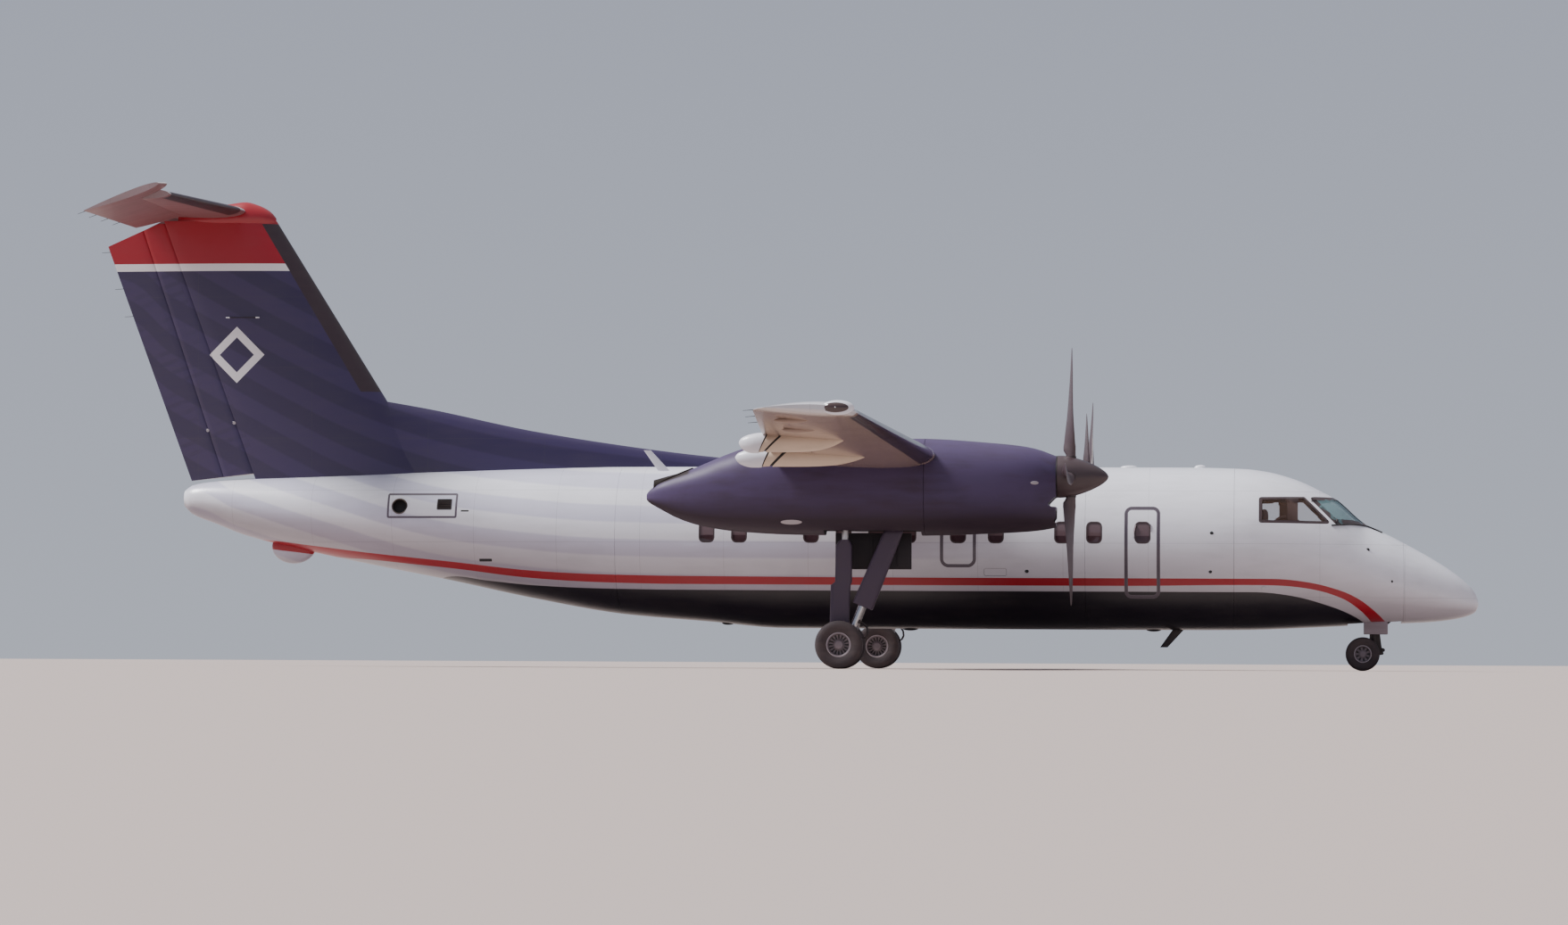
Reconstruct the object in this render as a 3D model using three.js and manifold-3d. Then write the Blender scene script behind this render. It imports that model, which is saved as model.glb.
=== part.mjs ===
// A high-wing airliner with two propeller engines and a T-tail, parked on its landing gear.
// Lengths are millimetres. X runs forward to the nose, Y to port and Z up from the ground.
// The origin is on the ground, at the middle of the aircraft's length and span.

import * as THREE from 'three';
import { mergeVertices } from 'three/addons/utils/BufferGeometryUtils.js';
import Module from 'manifold-3d';

const wasm = await Module();
wasm.setup();

// Driving dimensions
const NOSE_X = 11125;
const HALF_SPAN = 12950;
const ENGINE_Y = 3935;
const PROP_X = 4790;
const PROP_Z = 2965;
const PROP_RADIUS = 1980;
const MAIN_AXLE_X = 1240;
const NOSE_AXLE_X = 9290;
const NOSE_STEER_X = 9470;
const MAIN_TYRE_RADIUS = 370;
const NOSE_TYRE_RADIUS = 270;
const SKIN = 55;
const FLOOR_Z = 1250;
const ELEVATOR_DROOP = 20;

// Joint lines between fixed pieces, clearance round moving ones, and end play at a hinge lug
const GAP = 0.3;
const RUN = 8;
const PLAY = 0.4;

const HULL_SIDES = 28;
const BODY_SIDES = 20;
const SMALL_SIDES = 8;
const ROD_SIDES = 14;
const SIDES = [['left', 1], ['right', -1]];

const finish = (color, roughness, metalness = 0) => ({ color, roughness, metalness });
const WHITE = finish(0xdfe1ea, 0.35);
const NAVY = finish(0x232a55, 0.3);
const DARK = finish(0x2d2726, 0.5);
const TAN = finish(0xb9aea2, 0.5);
const STEEL = finish(0x9a9a9e, 0.35, 0.8);
const RUBBER = finish(0x1d1c1d, 0.9);
const GLASS = finish(0x40494f, 0.1);
const INSIDE = finish(0x4a4747, 0.8);

const model = new THREE.Group();

// Solids in and out of the boolean library

function toSolid(geometry) {
  const bare = geometry.clone();
  bare.deleteAttribute('normal');
  bare.deleteAttribute('uv');
  const merged = mergeVertices(bare, 0.01);
  const faces = [];
  const index = merged.index.array;
  for (let k = 0; k < index.length; k += 3) {
    const [a, b, c] = index.slice(k, k + 3);
    if (a !== b && b !== c && c !== a) faces.push(a, b, c);
  }
  return new wasm.Manifold(new wasm.Mesh({
    numProp: 3,
    vertProperties: new Float32Array(merged.attributes.position.array),
    triVerts: new Uint32Array(faces),
  }));
}

function toGeometry(solid) {
  const mesh = solid.getMesh();
  const geometry = new THREE.BufferGeometry();
  geometry.setAttribute('position', new THREE.BufferAttribute(Float32Array.from(mesh.vertProperties), 3));
  geometry.setIndex(Array.from(mesh.triVerts));
  geometry.computeVertexNormals();
  return geometry;
}

function addPiece(name, solid, look) {
  const mesh = new THREE.Mesh(toGeometry(solid), new THREE.MeshStandardMaterial(look));
  mesh.name = name;
  model.add(mesh);
}

const unite = (solids) => solids.reduce((whole, next) => whole.add(next));
const carve = (solid, tools) => tools.reduce((rest, tool) => rest.subtract(tool), solid);

// Basic shapes

function box(x0, x1, y0, y1, z0, z1) {
  const geometry = new THREE.BoxGeometry(x1 - x0, y1 - y0, z1 - z0);
  geometry.translate((x0 + x1) / 2, (y0 + y1) / 2, (z0 + z1) / 2);
  return toSolid(geometry);
}

// A round bar from a to b, tapered when the second radius differs
function rod(a, b, radius, endRadius = radius, sides = ROD_SIDES) {
  const from = new THREE.Vector3(...a);
  const to = new THREE.Vector3(...b);
  const along = to.clone().sub(from);
  const geometry = new THREE.CylinderGeometry(endRadius, radius, along.length(), sides);
  const turn = new THREE.Quaternion().setFromUnitVectors(new THREE.Vector3(0, 1, 0), along.clone().normalize());
  geometry.applyQuaternion(turn);
  geometry.translate(...from.add(to).multiplyScalar(0.5).toArray());
  return toSolid(geometry);
}

function outline(points) {
  return new THREE.Shape(points.map(([u, v]) => new THREE.Vector2(u, v)));
}

function roundedOutline(u0, u1, v0, v1, r, lower = r) {
  const shape = new THREE.Shape();
  shape.moveTo(u0 + lower, v0);
  shape.lineTo(u1 - lower, v0);
  shape.absarc(u1 - lower, v0 + lower, lower, -Math.PI / 2, 0);
  shape.lineTo(u1, v1 - r);
  shape.absarc(u1 - r, v1 - r, r, 0, Math.PI / 2);
  shape.lineTo(u0 + r, v1);
  shape.absarc(u0 + r, v1 - r, r, Math.PI / 2, Math.PI);
  shape.lineTo(u0, v0 + lower);
  shape.absarc(u0 + lower, v0 + lower, lower, Math.PI, 1.5 * Math.PI);
  return shape;
}

// Prisms over an outline in X and Z, in X and Y, and in Y and Z
function prismY(shape, y0, y1) {
  const geometry = new THREE.ExtrudeGeometry(shape, { depth: y1 - y0, bevelEnabled: false, curveSegments: 4 });
  geometry.rotateX(Math.PI / 2);
  geometry.translate(0, y1, 0);
  return toSolid(geometry);
}

function prismZ(shape, z0, z1) {
  const geometry = new THREE.ExtrudeGeometry(shape, { depth: z1 - z0, bevelEnabled: false, curveSegments: 4 });
  geometry.translate(0, 0, z0);
  return toSolid(geometry);
}

function prismX(shape, x0, x1) {
  const geometry = new THREE.ExtrudeGeometry(shape, { depth: x1 - x0, bevelEnabled: false, curveSegments: 4 });
  geometry.rotateY(Math.PI / 2);
  geometry.rotateX(Math.PI / 2);
  geometry.translate(x0, 0, 0);
  return toSolid(geometry);
}

// A profile of [radius, distance] spun about the bar from a point along a direction
function spun(profile, at, direction, segments) {
  const geometry = new THREE.LatheGeometry(profile.map(([r, d]) => new THREE.Vector2(r, d)), segments);
  const turn = new THREE.Quaternion().setFromUnitVectors(
    new THREE.Vector3(0, 1, 0), new THREE.Vector3(...direction));
  geometry.applyQuaternion(turn);
  geometry.translate(...at);
  return toSolid(facesOut(geometry));
}

// The faces are turned over where a profile ran the other way round
function facesOut(geometry) {
  const position = geometry.attributes.position;
  const index = geometry.index.array;
  const corner = (k) => new THREE.Vector3().fromBufferAttribute(position, index[k]);
  let volume = 0;
  for (let k = 0; k < index.length; k += 3) {
    volume += corner(k).dot(corner(k + 1).cross(corner(k + 2)));
  }
  if (volume < 0) {
    for (let k = 0; k < index.length; k += 3) {
      const kept = index[k + 1];
      index[k + 1] = index[k + 2];
      index[k + 2] = kept;
    }
  }
  return geometry;
}

// A closed skin through rings of equal point count, with a fan over each end
function loft(rings) {
  const count = rings[0].length;
  const points = rings.flat();
  const last = rings.length - 1;
  const middle = (ring) => [0, 1, 2].map((k) => ring.reduce((sum, p) => sum + p[k], 0) / count);
  points.push(middle(rings[0]), middle(rings[last]));
  const faces = [];
  for (let k = 0; k < count; k++) {
    const next = (k + 1) % count;
    for (let i = 0; i < last; i++) {
      const a = i * count;
      const b = a + count;
      faces.push(a + k, a + next, b + next, a + k, b + next, b + k);
    }
    faces.push(points.length - 2, next, k);
    faces.push(points.length - 1, last * count + k, last * count + next);
  }
  const geometry = new THREE.BufferGeometry();
  geometry.setAttribute('position', new THREE.Float32BufferAttribute(points.flat(), 3));
  geometry.setIndex(faces);
  return toSolid(facesOut(geometry));
}

// Row of a table at a station, with the columns between two rows in proportion
function rowAt(table, station) {
  const rising = table[0][0] < table[table.length - 1][0];
  const rows = rising ? table : [...table].reverse();
  let k = 0;
  while (k < rows.length - 2 && station > rows[k + 1][0]) k++;
  const share = (station - rows[k][0]) / (rows[k + 1][0] - rows[k][0]);
  return rows[k].map((value, column) => value + share * (rows[k + 1][column] - value));
}

function stationsBetween(table, from, to) {
  const inner = table.map((row) => row[0]).filter((x) => x > from + 1 && x < to - 1);
  return [from, ...inner.sort((a, b) => a - b), to];
}

// A rounded body ring across X, widest at its own height
function bodyRing([x, top, bottom, half, widest], { power = 2, centreY = 0, grow = 0, sides = BODY_SIDES }) {
  return Array.from({ length: sides }, (_, k) => {
    const angle = (2 * Math.PI * k) / sides;
    const across = Math.cos(angle);
    const up = Math.sin(angle);
    const rise = (up > 0 ? top - widest : widest - bottom) + grow;
    const y = Math.sign(across) * Math.abs(across) ** (2 / power) * (half + grow);
    return [x, centreY + y, widest + Math.sign(up) * Math.abs(up) ** (2 / power) * rise];
  });
}

function body(table, from, to, options = {}) {
  return loft(stationsBetween(table, from, to).map((x) => bodyRing(rowAt(table, x), options)));
}

// Aerofoil sections: share of the chord from the leading edge
const FOIL_STEPS = [0.012, 0.05, 0.15, 0.32, 0.55, 0.78, 1];
const AFT_STEPS = [0.35, 0.7, 1];
const NOSE_ANGLES = [90, 120, 150, 180, 210, 240, 270];
const BLUNT_EDGE = 0.0022;

function halfDepth(depth, chord, s) {
  const curve = 0.2969 * Math.sqrt(s) - 0.126 * s - 0.3516 * s ** 2 + 0.2843 * s ** 3 - 0.1015 * s ** 4;
  return 5 * depth * curve + BLUNT_EDGE * s * chord;
}

const camberLine = (camber, s) => camber * (s < 0.4 ? 5 * s - 6.25 * s * s : (1 - s) * (0.2 + s) / 0.36);

// Section points as distance aft and height, with a round nose where it starts behind the leading edge
function foil({ chord, depth, camber = 0, from = 0, to = 1 }) {
  const side = (s, sign) => [s * chord, camberLine(camber, s) * chord + sign * halfDepth(depth, chord, s)];
  const steps = from === 0 ? FOIL_STEPS.map((s) => s * to) : AFT_STEPS.map((s) => from + s * (to - from));
  const lower = steps.map((s) => side(s, -1));
  const upper = steps.map((s) => side(s, 1)).reverse();
  if (from === 0) return [...upper, [0, 0], ...lower];
  const [centreU, centreV] = side(from, 0);
  const radius = halfDepth(depth, chord, from);
  const nose = NOSE_ANGLES.map((angle) => {
    const turn = THREE.MathUtils.degToRad(angle);
    return [centreU + radius * Math.cos(turn), centreV + radius * Math.sin(turn)];
  });
  return [...upper, ...nose, ...lower];
}

// Moves every side of a section outwards by the same amount
function grown(points, grow) {
  if (!grow) return points;
  const count = points.length;
  const area = points.reduce((sum, [u, v], k) => {
    const [nextU, nextV] = points[(k + 1) % count];
    return sum + u * nextV - nextU * v;
  }, 0);
  const sign = Math.sign(area);
  const normal = (a, b) => new THREE.Vector2(b[1] - a[1], a[0] - b[0]).normalize().multiplyScalar(sign);
  return points.map((point, k) => {
    const before = normal(points[(k + count - 1) % count], point);
    const after = normal(point, points[(k + 1) % count]);
    const joint = before.clone().add(after).normalize();
    const reach = grow / Math.max(joint.dot(after), 0.5);
    return [point[0] + joint.x * reach, point[1] + joint.y * reach];
  });
}

// Fuselage: station, top, bottom, half width, height of the widest line
const FUSELAGE = [
  [11125, 1100, 1060, 16, 1080],
  [11085, 1225, 960, 130, 1088],
  [10890, 1450, 865, 315, 1120],
  [10610, 1660, 812, 470, 1180],
  [10330, 1832, 783, 590, 1250],
  [9930, 2050, 762, 735, 1350],
  [9760, 2140, 752, 790, 1400],
  [9330, 2345, 735, 915, 1540],
  [8860, 2742, 708, 1040, 1690],
  [8620, 2872, 696, 1095, 1760],
  [8340, 3008, 682, 1155, 1830],
  [8050, 3110, 668, 1210, 1885],
  [7770, 3180, 656, 1255, 1920],
  [7400, 3225, 646, 1300, 1938],
  [6500, 3248, 640, 1330, 1945],
  [0, 3250, 648, 1330, 1947],
  [-1130, 3250, 742, 1322, 1985],
  [-2580, 3246, 862, 1295, 2045],
  [-4040, 3212, 1110, 1220, 2155],
  [-5510, 3165, 1420, 1080, 2290],
  [-6680, 3125, 1645, 925, 2390],
  [-7860, 3082, 1892, 715, 2490],
  [-8740, 3044, 2104, 530, 2585],
  [-9330, 3000, 2325, 370, 2670],
  [-9690, 2935, 2470, 250, 2705],
  [-9810, 2850, 2590, 130, 2720],
];
const TAIL_END = -9810;
const TAIL_HOLLOW_END = -9330;
const TAIL_JOINT = -2600;
// How far a cutting solid runs past the face it opens
const OVERRUN = 10;
const ENTRY_JOINT = 4900;
const COCKPIT_JOINT = 7250;
const RADOME_JOINT = 9930;

const fuselage = (from, to, grow = 0) => body(FUSELAGE, from, to, { grow, sides: HULL_SIDES });
const fuselageHull = fuselage(TAIL_END, NOSE_X, GAP);

// Wing: station along the span, leading edge X and Z, chord, depth, drop of the trailing edge
const WING = [
  [0, 2720, 3270, 2460, 443, 86],
  [4580, 2720, 3270, 2460, 443, 86],
  [12620, 2160, 3560, 1440, 202, -25],
  [HALF_SPAN, 1990, 3585, 1100, 66, -19],
];
const WING_CAMBER = 0.025;
const WING_JOINT = 4580;

function wingPoint(span, side, u, v) {
  const [, leadX, leadZ, chord, , drop] = rowAt(WING, span);
  return [leadX - u, side * span, leadZ - (u / chord) * drop + v];
}

function wingRing(span, side, { from = 0, to = 1, grow = 0 } = {}) {
  const [, , , chord, depth] = rowAt(WING, span);
  const points = grown(foil({ chord, depth, camber: WING_CAMBER, from, to }), grow);
  return points.map(([u, v]) => wingPoint(span, side, u, v));
}

// A lug on a hinge line, held by the fixed surface, and the notch it sits in
function knuckle(at, axis, ahead, radius) {
  const along = new THREE.Vector3(...axis).normalize().multiplyScalar(radius * 0.5);
  const centre = new THREE.Vector3(...at);
  const reach = new THREE.Vector3(...ahead).normalize().multiplyScalar(radius + 70);
  const clear = along.clone().normalize().multiplyScalar(PLAY);
  const ends = [centre.clone().sub(along), centre.clone().add(along)];
  const lug = rod(ends[0].toArray(), ends[1].toArray(), radius * 0.6, radius * 0.6, SMALL_SIDES);
  const web = rod(centre.toArray(), centre.clone().add(reach).toArray(), radius * 0.42, radius * 0.42, 6);
  const notch = rod(ends[0].sub(clear).toArray(), ends[1].add(clear).toArray(), radius + RUN, radius + RUN,
    KNUCKLE_SIDES);
  return { lug: lug.add(web), notch };
}

const between = (a, b, share) => a.map((value, k) => value + share * (b[k] - value));
const KNUCKLES = [0.22, 0.78];
const KNUCKLE_SIDES = 12;

function hingeLine(a, b, radiusA, radiusB, ahead) {
  const axis = b.map((value, k) => value - a[k]);
  const over = 0.02;
  const cove = rod(between(a, b, -over), between(a, b, 1 + over), radiusA + RUN, radiusB + RUN);
  const pairs = KNUCKLES.map((share) =>
    knuckle(between(a, b, share), axis, ahead, radiusA + share * (radiusB - radiusA)));
  return {
    cove,
    lugs: unite(pairs.map((pair) => pair.lug)),
    notches: pairs.map((pair) => pair.notch),
  };
}

// Ailerons and flaps: share of the chord, spanwise ends
const AILERON = { hinge: 0.74, from: 9500, to: 12560, end: 14 };
const FLAP = { lead: 0.7, from: 4700, to: 9300 };
const CANOES = [
  // span, nose X, tail X, half width
  [6300, 1870, -130, 105],
  [8950, 1700, 190, 90],
];

const CANOE = {
  drop: 120,
  half: 110,
  // share of the length, share of the full section
  fullness: [[0, 0.12], [0.12, 0.62], [0.35, 1], [0.62, 1], [0.85, 0.62], [1, 0.1]],
};

function canoe(side, [span, noseX, tailX, half]) {
  const midZ = wingPoint(span, side, 0.55 * rowAt(WING, span)[3], 0)[2] - CANOE.drop;
  const rows = CANOE.fullness.map(([share, full]) => {
    const x = noseX + share * (tailX - noseX);
    return [x, midZ + CANOE.half * full, midZ - CANOE.half * full, half * full, midZ];
  });
  return loft(rows.map((row) => bodyRing(row, { centreY: side * span, sides: SMALL_SIDES })));
}

function wingSide(name, side) {
  const spans = [WING_JOINT + GAP, 12620, HALF_SPAN];
  const panel = loft(spans.map((span) => wingRing(span, side)));
  const hinge = [AILERON.from, AILERON.to].map((span) => {
    const [, , , chord, depth] = rowAt(WING, span);
    const at = wingPoint(span, side, AILERON.hinge * chord, camberLine(WING_CAMBER, AILERON.hinge) * chord);
    return { at, radius: halfDepth(depth, chord, AILERON.hinge) };
  });
  const line = hingeLine(hinge[0].at, hinge[1].at, hinge[0].radius, hinge[1].radius, [1, 0, 0]);
  const ends = [AILERON.from - AILERON.end, AILERON.to + AILERON.end];
  const bay = prismZ(outline([
    [hinge[0].at[0], side * ends[0]], [hinge[1].at[0], side * ends[1]],
    [-2000, side * ends[1]], [-2000, side * ends[0]],
  ]), 2500, 4500);
  const [lowY, highY] = ends.map((y) => side * y).sort((a, b) => a - b);
  const cove = line.cove.intersect(box(-3000, 4000, lowY, highY, 2500, 4500));
  const flapLead = (span) => wingPoint(span, side, FLAP.lead * rowAt(WING, span)[3], 0)[0];
  const flapRegion = (grow) => prismZ(outline([
    [flapLead(FLAP.from) + grow, side * (FLAP.from - grow)],
    [flapLead(FLAP.to) + grow, side * (FLAP.to + grow)],
    [-2000, side * (FLAP.to + grow)],
    [-2000, side * (FLAP.from - grow)],
  ]), 2500, 4500);
  const flap = panel.intersect(flapRegion(0));
  const canoes = CANOES.map((row) => canoe(side, row));
  const flapShell = loft([FLAP.from - 1, FLAP.to + 1].map((span) => wingRing(span, side, { grow: GAP })))
    .intersect(flapRegion(GAP));
  const fixed = carve(panel.add(unite(canoes)), [flapShell, bay, cove]).add(line.lugs);
  addPiece(`wing_${name}`, fixed, TAN);
  addPiece(`flap_${name}`, flap, TAN);
  const surface = loft([AILERON.from, AILERON.to].map((span) =>
    wingRing(span, side, { from: AILERON.hinge })));
  addPiece(`aileron_${name}`, carve(surface, line.notches), WHITE);
}

// Nacelle: station, top, bottom, half width, height of the widest line
const NACELLE = [
  [4560, 3290, 2185, 340, 2800],
  [4240, 3395, 2130, 450, 2790],
  [3960, 3445, 2108, 510, 2780],
  [3410, 3495, 2082, 565, 2770],
  [2860, 3535, 2062, 590, 2760],
  [2550, 3545, 2055, 595, 2755],
];
const NACELLE_AFT = [
  [2550, 3300, 2055, 595, 2755],
  [900, 3300, 2058, 595, 2755],
  [899, 3470, 2058, 594, 2755],
  [300, 3470, 2070, 575, 2760],
  [-80, 3440, 2090, 550, 2765],
  [-450, 3330, 2118, 500, 2760],
  [-730, 3215, 2158, 450, 2745],
  [-1000, 3100, 2215, 385, 2725],
  [-1280, 2990, 2310, 300, 2695],
  [-1560, 2865, 2455, 190, 2665],
  [-1770, 2700, 2585, 55, 2640],
];
const NACELLE_POWER = 2.5;
const FIREWALL_X = 2550;
const SADDLE = [
  [900, 3480, 3312, 470, 3314],
  [1800, 3555, 3312, 520, 3314],
  [2550, 3545, 3312, 560, 3314],
];
const ENGINE = { x0: 2550, x1: 4350, half: 300, z0: 2470, z1: 3050 };
const SHAFT_RADIUS = 70;
const COWL = { x1: 4560, wall: 50, roomX: 4400, shaftHole: 100 };
// The step between the spinner and the lip of the intake, in X and Z
const CHIN_STEP = [[4700, 2640], [4430, 2600], [4370, 2530], [4500, 2495], [4700, 2495]];
const INTAKE = { x0: 4250, half: 245, z0: 2238, z1: 2452, corner: 80 };
const NACELLE_END = -1770;
const GEAR_WELL = { x0: 1000, x1: 2500, half: 330, z0: 1900, roof: 2900 };

function nacelle(name, side) {
  const centreY = side * ENGINE_Y;
  const shape = { power: NACELLE_POWER, centreY };
  const slot = loft([0, 4579].map((span) => wingRing(span, side, { grow: GAP })));
  const cavity = body(NACELLE, FIREWALL_X, COWL.roomX, { ...shape, grow: -COWL.wall, sides: 12 });
  const mouth = roundedOutline(centreY - INTAKE.half, centreY + INTAKE.half, INTAKE.z0, INTAKE.z1,
    INTAKE.corner);
  const front = carve(body(NACELLE, FIREWALL_X + GAP, COWL.x1, shape), [
    cavity, slot,
    prismY(outline(CHIN_STEP), centreY - 700, centreY + 700),
    prismX(mouth, INTAKE.x0, COWL.x1 + 100),
    rod([COWL.roomX - 100, centreY, PROP_Z], [COWL.x1 + 100, centreY, PROP_Z], COWL.shaftHole),
  ]);
  addPiece(`nacelle_front_${name}`, front, NAVY);

  const well = box(GEAR_WELL.x0, GEAR_WELL.x1, centreY - GEAR_WELL.half, centreY + GEAR_WELL.half,
    GEAR_WELL.z0, GEAR_WELL.roof);
  const aft = body(NACELLE_AFT, NACELLE_END, FIREWALL_X - GAP, shape);
  addPiece(`nacelle_rear_${name}`, carve(aft, [slot, well]), NAVY);

  const engine = box(ENGINE.x0 + GAP, ENGINE.x1, centreY - ENGINE.half, centreY + ENGINE.half,
    ENGINE.z0, ENGINE.z1);
  addPiece(`engine_${name}`, engine, STEEL);
}

// Propeller blade: radius, chord, thickness, angle to the plane of rotation, shift along X
const BLADE = [
  [110, 130, 130, 58, 0],
  [320, 160, 106, 58, -8],
  [400, 215, 84, 60, -32],
  [540, 255, 62, 41, -32],
  [880, 325, 42, 20, -26],
  [1280, 330, 30, 12, -16],
  [1640, 290, 22, 8, -6],
  [1870, 210, 14, 6, -2],
  [PROP_RADIUS, 80, 8, 5, 0],
];
const BLADE_COUNT = 4;
const BLADE_SIDES = 8;
const SPINNER_SIDES = 16;
const SPINNER = { back: 4578, length: 782, wall: 14, rootHole: 95 };

function blade(turn) {
  const rings = BLADE.map(([radius, chord, thick, pitch, shift]) => {
    const angle = THREE.MathUtils.degToRad(pitch);
    return Array.from({ length: BLADE_SIDES }, (_, k) => {
      const t = (2 * Math.PI * k) / BLADE_SIDES;
      const u = (Math.cos(t) * chord) / 2;
      const v = (Math.sin(t) * thick) / 2;
      const point = new THREE.Vector3(shift + u * Math.sin(angle) + v * Math.cos(angle),
        -u * Math.cos(angle) + v * Math.sin(angle), radius);
      return point.applyAxisAngle(new THREE.Vector3(1, 0, 0), turn).toArray();
    });
  });
  return loft(rings);
}

function propeller(name, side, phase) {
  const place = (solid) => solid.rotate([phase, 0, 0]).translate([0, side * ENGINE_Y, PROP_Z]);
  const turns = Array.from({ length: BLADE_COUNT }, (_, k) => (2 * Math.PI * k) / BLADE_COUNT);
  const { back, length, wall, rootHole } = SPINNER;
  const outer = [[0, 0], [325, 0], [322, 100], [290, 270], [215, 490], [110, 690], [45, 762], [0, length]];
  const inner = [[0, wall], [308, wall], [272, 265], [195, 477], [0, 730]];
  const holes = turns.map((turn) => {
    const out = new THREE.Vector3(0, 0, 450).applyAxisAngle(new THREE.Vector3(1, 0, 0), turn);
    return rod([PROP_X, 0, 0], [PROP_X, out.y, out.z], rootHole, rootHole, SMALL_SIDES);
  });
  const axis = [1, 0, 0];
  const shell = carve(spun(outer, [back, 0, 0], axis, SPINNER_SIDES), [
    spun(inner, [back, 0, 0], axis, SPINNER_SIDES),
    ...holes,
    rod([back - 20, 0, 0], [back + 40, 0, 0], SHAFT_RADIUS + 1),
  ]);
  addPiece(`spinner_${name}`, place(shell), DARK);

  const hub = rod([back + wall + GAP, 0, 0], [back + 330, 0, 0], 150);
  const shaft = rod([ENGINE.x1 + PLAY, 0, 0], [back + 60, 0, 0], SHAFT_RADIUS);
  const blades = turns.map((turn) => blade(turn).translate([PROP_X, 0, 0]));
  addPiece(`propeller_${name}`, place(unite([hub, shaft, ...blades])), DARK);
}

// Fairings that carry the wing on the fuselage: station, top, bottom, half width, widest height
const ROOT_FAIRING = [
  [-300, 3345, 3000, 240, 3100],
  [300, 3430, 3000, 560, 3150],
  [1200, 3440, 3000, 800, 3150],
  [2300, 3440, 3000, 800, 3150],
  [2900, 3430, 3000, 620, 3150],
  [3500, 3330, 3000, 380, 3100],
  [3800, 3250, 3000, 200, 3100],
];

function wingCentre() {
  const panel = loft([wingRing(WING_JOINT - GAP, -1), wingRing(0, 1), wingRing(WING_JOINT - GAP, 1)]);
  const fairing = body(ROOT_FAIRING, -300, 3800).subtract(fuselageHull);
  const saddles = SIDES.map(([, side]) =>
    body(SADDLE, 900 + GAP, FIREWALL_X - GAP, { centreY: side * ENGINE_Y }));
  addPiece('wing_centre', unite([panel, fairing, ...saddles]), WHITE);
}

// Doors: side, ends along X, sill and head, corner radius, thickness
const AIRSTAIR = { side: 1, x0: 5420, x1: 6180, z0: 1090, z1: 2740, corner: 120, foot: 20, thick: 60, gap: 6 };
const STAIR_HINGE = { y: 975, z: 1076, barrel: 18, groove: 42 };
const STAIR_RECESS_Y = 250;
const FIXED_DOORS = [
  { name: 'exit_front_right', side: -1, x0: 5550, x1: 6060, z0: 1160, z1: 2560, corner: 90, thick: 45 },
  { name: 'baggage_door', side: 1, x0: -4950, x1: -3680, z0: 1500, z1: 2850, corner: 100, thick: 45 },
];

function doorPrism({ side, x0, x1, z0, z1, corner, foot = corner }, grow) {
  const shape = roundedOutline(x0 - grow, x1 + grow, z0 - grow, z1 + grow, corner + grow, foot + grow);
  return side > 0 ? prismY(shape, 300, 1600) : prismY(shape, -1600, -300);
}

function doorBand(door, inset, reach) {
  const from = door.x0 - reach;
  const to = door.x1 + reach;
  return fuselage(from, to).subtract(fuselage(from - OVERRUN, to + OVERRUN, -inset));
}

function fixedDoor(door) {
  return doorBand(door, door.thick, 100).intersect(doorPrism(door, 0));
}

function fixedDoorSeat(door) {
  const band = fuselage(door.x0 - 120, door.x1 + 120, 20)
    .subtract(fuselage(door.x0 - 130, door.x1 + 130, -door.thick - GAP));
  return band.intersect(doorPrism(door, GAP));
}

function airstairDoor() {
  const { x0, x1, thick, gap } = AIRSTAIR;
  const panel = doorBand(AIRSTAIR, thick, 100).intersect(doorPrism(AIRSTAIR, 0));
  const hinge = (x) => [x, STAIR_HINGE.y, STAIR_HINGE.z];
  const barrel = rod(hinge(x0 - gap + PLAY), hinge(x1 + gap - PLAY), STAIR_HINGE.barrel);
  const sill = box(x0 + 130, x1 - 130, STAIR_HINGE.y - 12, STAIR_HINGE.y + 12, STAIR_HINGE.z, 1100);
  addPiece('airstair_door', unite([panel, barrel, sill]), WHITE);
}

function forwardFuselage() {
  const { x0, x1, z0, z1, gap, corner, foot } = AIRSTAIR;
  const shape = roundedOutline(x0 - gap, x1 + gap, z0 - gap, z1 + gap, corner, foot);
  const mouth = prismY(shape, STAIR_RECESS_Y, 1600);
  const groove = rod([x0 - gap, STAIR_HINGE.y, STAIR_HINGE.z], [x1 + gap, STAIR_HINGE.y, STAIR_HINGE.z],
    STAIR_HINGE.groove);
  const aerial = prismY(outline([[6060, 360], [6180, 360], [6490, 700], [6300, 700]]), -14, 14);
  const shell = fuselage(ENTRY_JOINT + GAP, COCKPIT_JOINT - GAP).add(aerial);
  addPiece('fuselage_front', carve(shell, [mouth, groove, fixedDoorSeat(FIXED_DOORS[0])]), WHITE);
}

function centreFuselage() {
  const slot = loft([wingRing(1900, -1, { grow: GAP }), wingRing(1900, 1, { grow: GAP })]);
  const aerial = prismY(outline([[-2240, 3490], [-2130, 3510], [-1750, 3120], [-1950, 3120]]), -462, -438);
  const shell = fuselage(TAIL_JOINT, ENTRY_JOINT - GAP).add(aerial);
  addPiece('fuselage_centre', shell.subtract(slot), WHITE);
}

const TAIL_POD = { centre: [-8010, 0, 1945], radii: [370, 150, 290] };

function rearFuselage() {
  const pod = new THREE.SphereGeometry(1, 12, 8);
  pod.scale(...TAIL_POD.radii);
  pod.translate(...TAIL_POD.centre);
  const inside = fuselage(TAIL_HOLLOW_END, TAIL_JOINT + OVERRUN, -SKIN);
  const hull = fuselage(TAIL_END, TAIL_JOINT - GAP).add(toSolid(pod));
  addPiece('fuselage_rear', carve(hull, [inside, fixedDoorSeat(FIXED_DOORS[1])]), WHITE);
}

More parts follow.
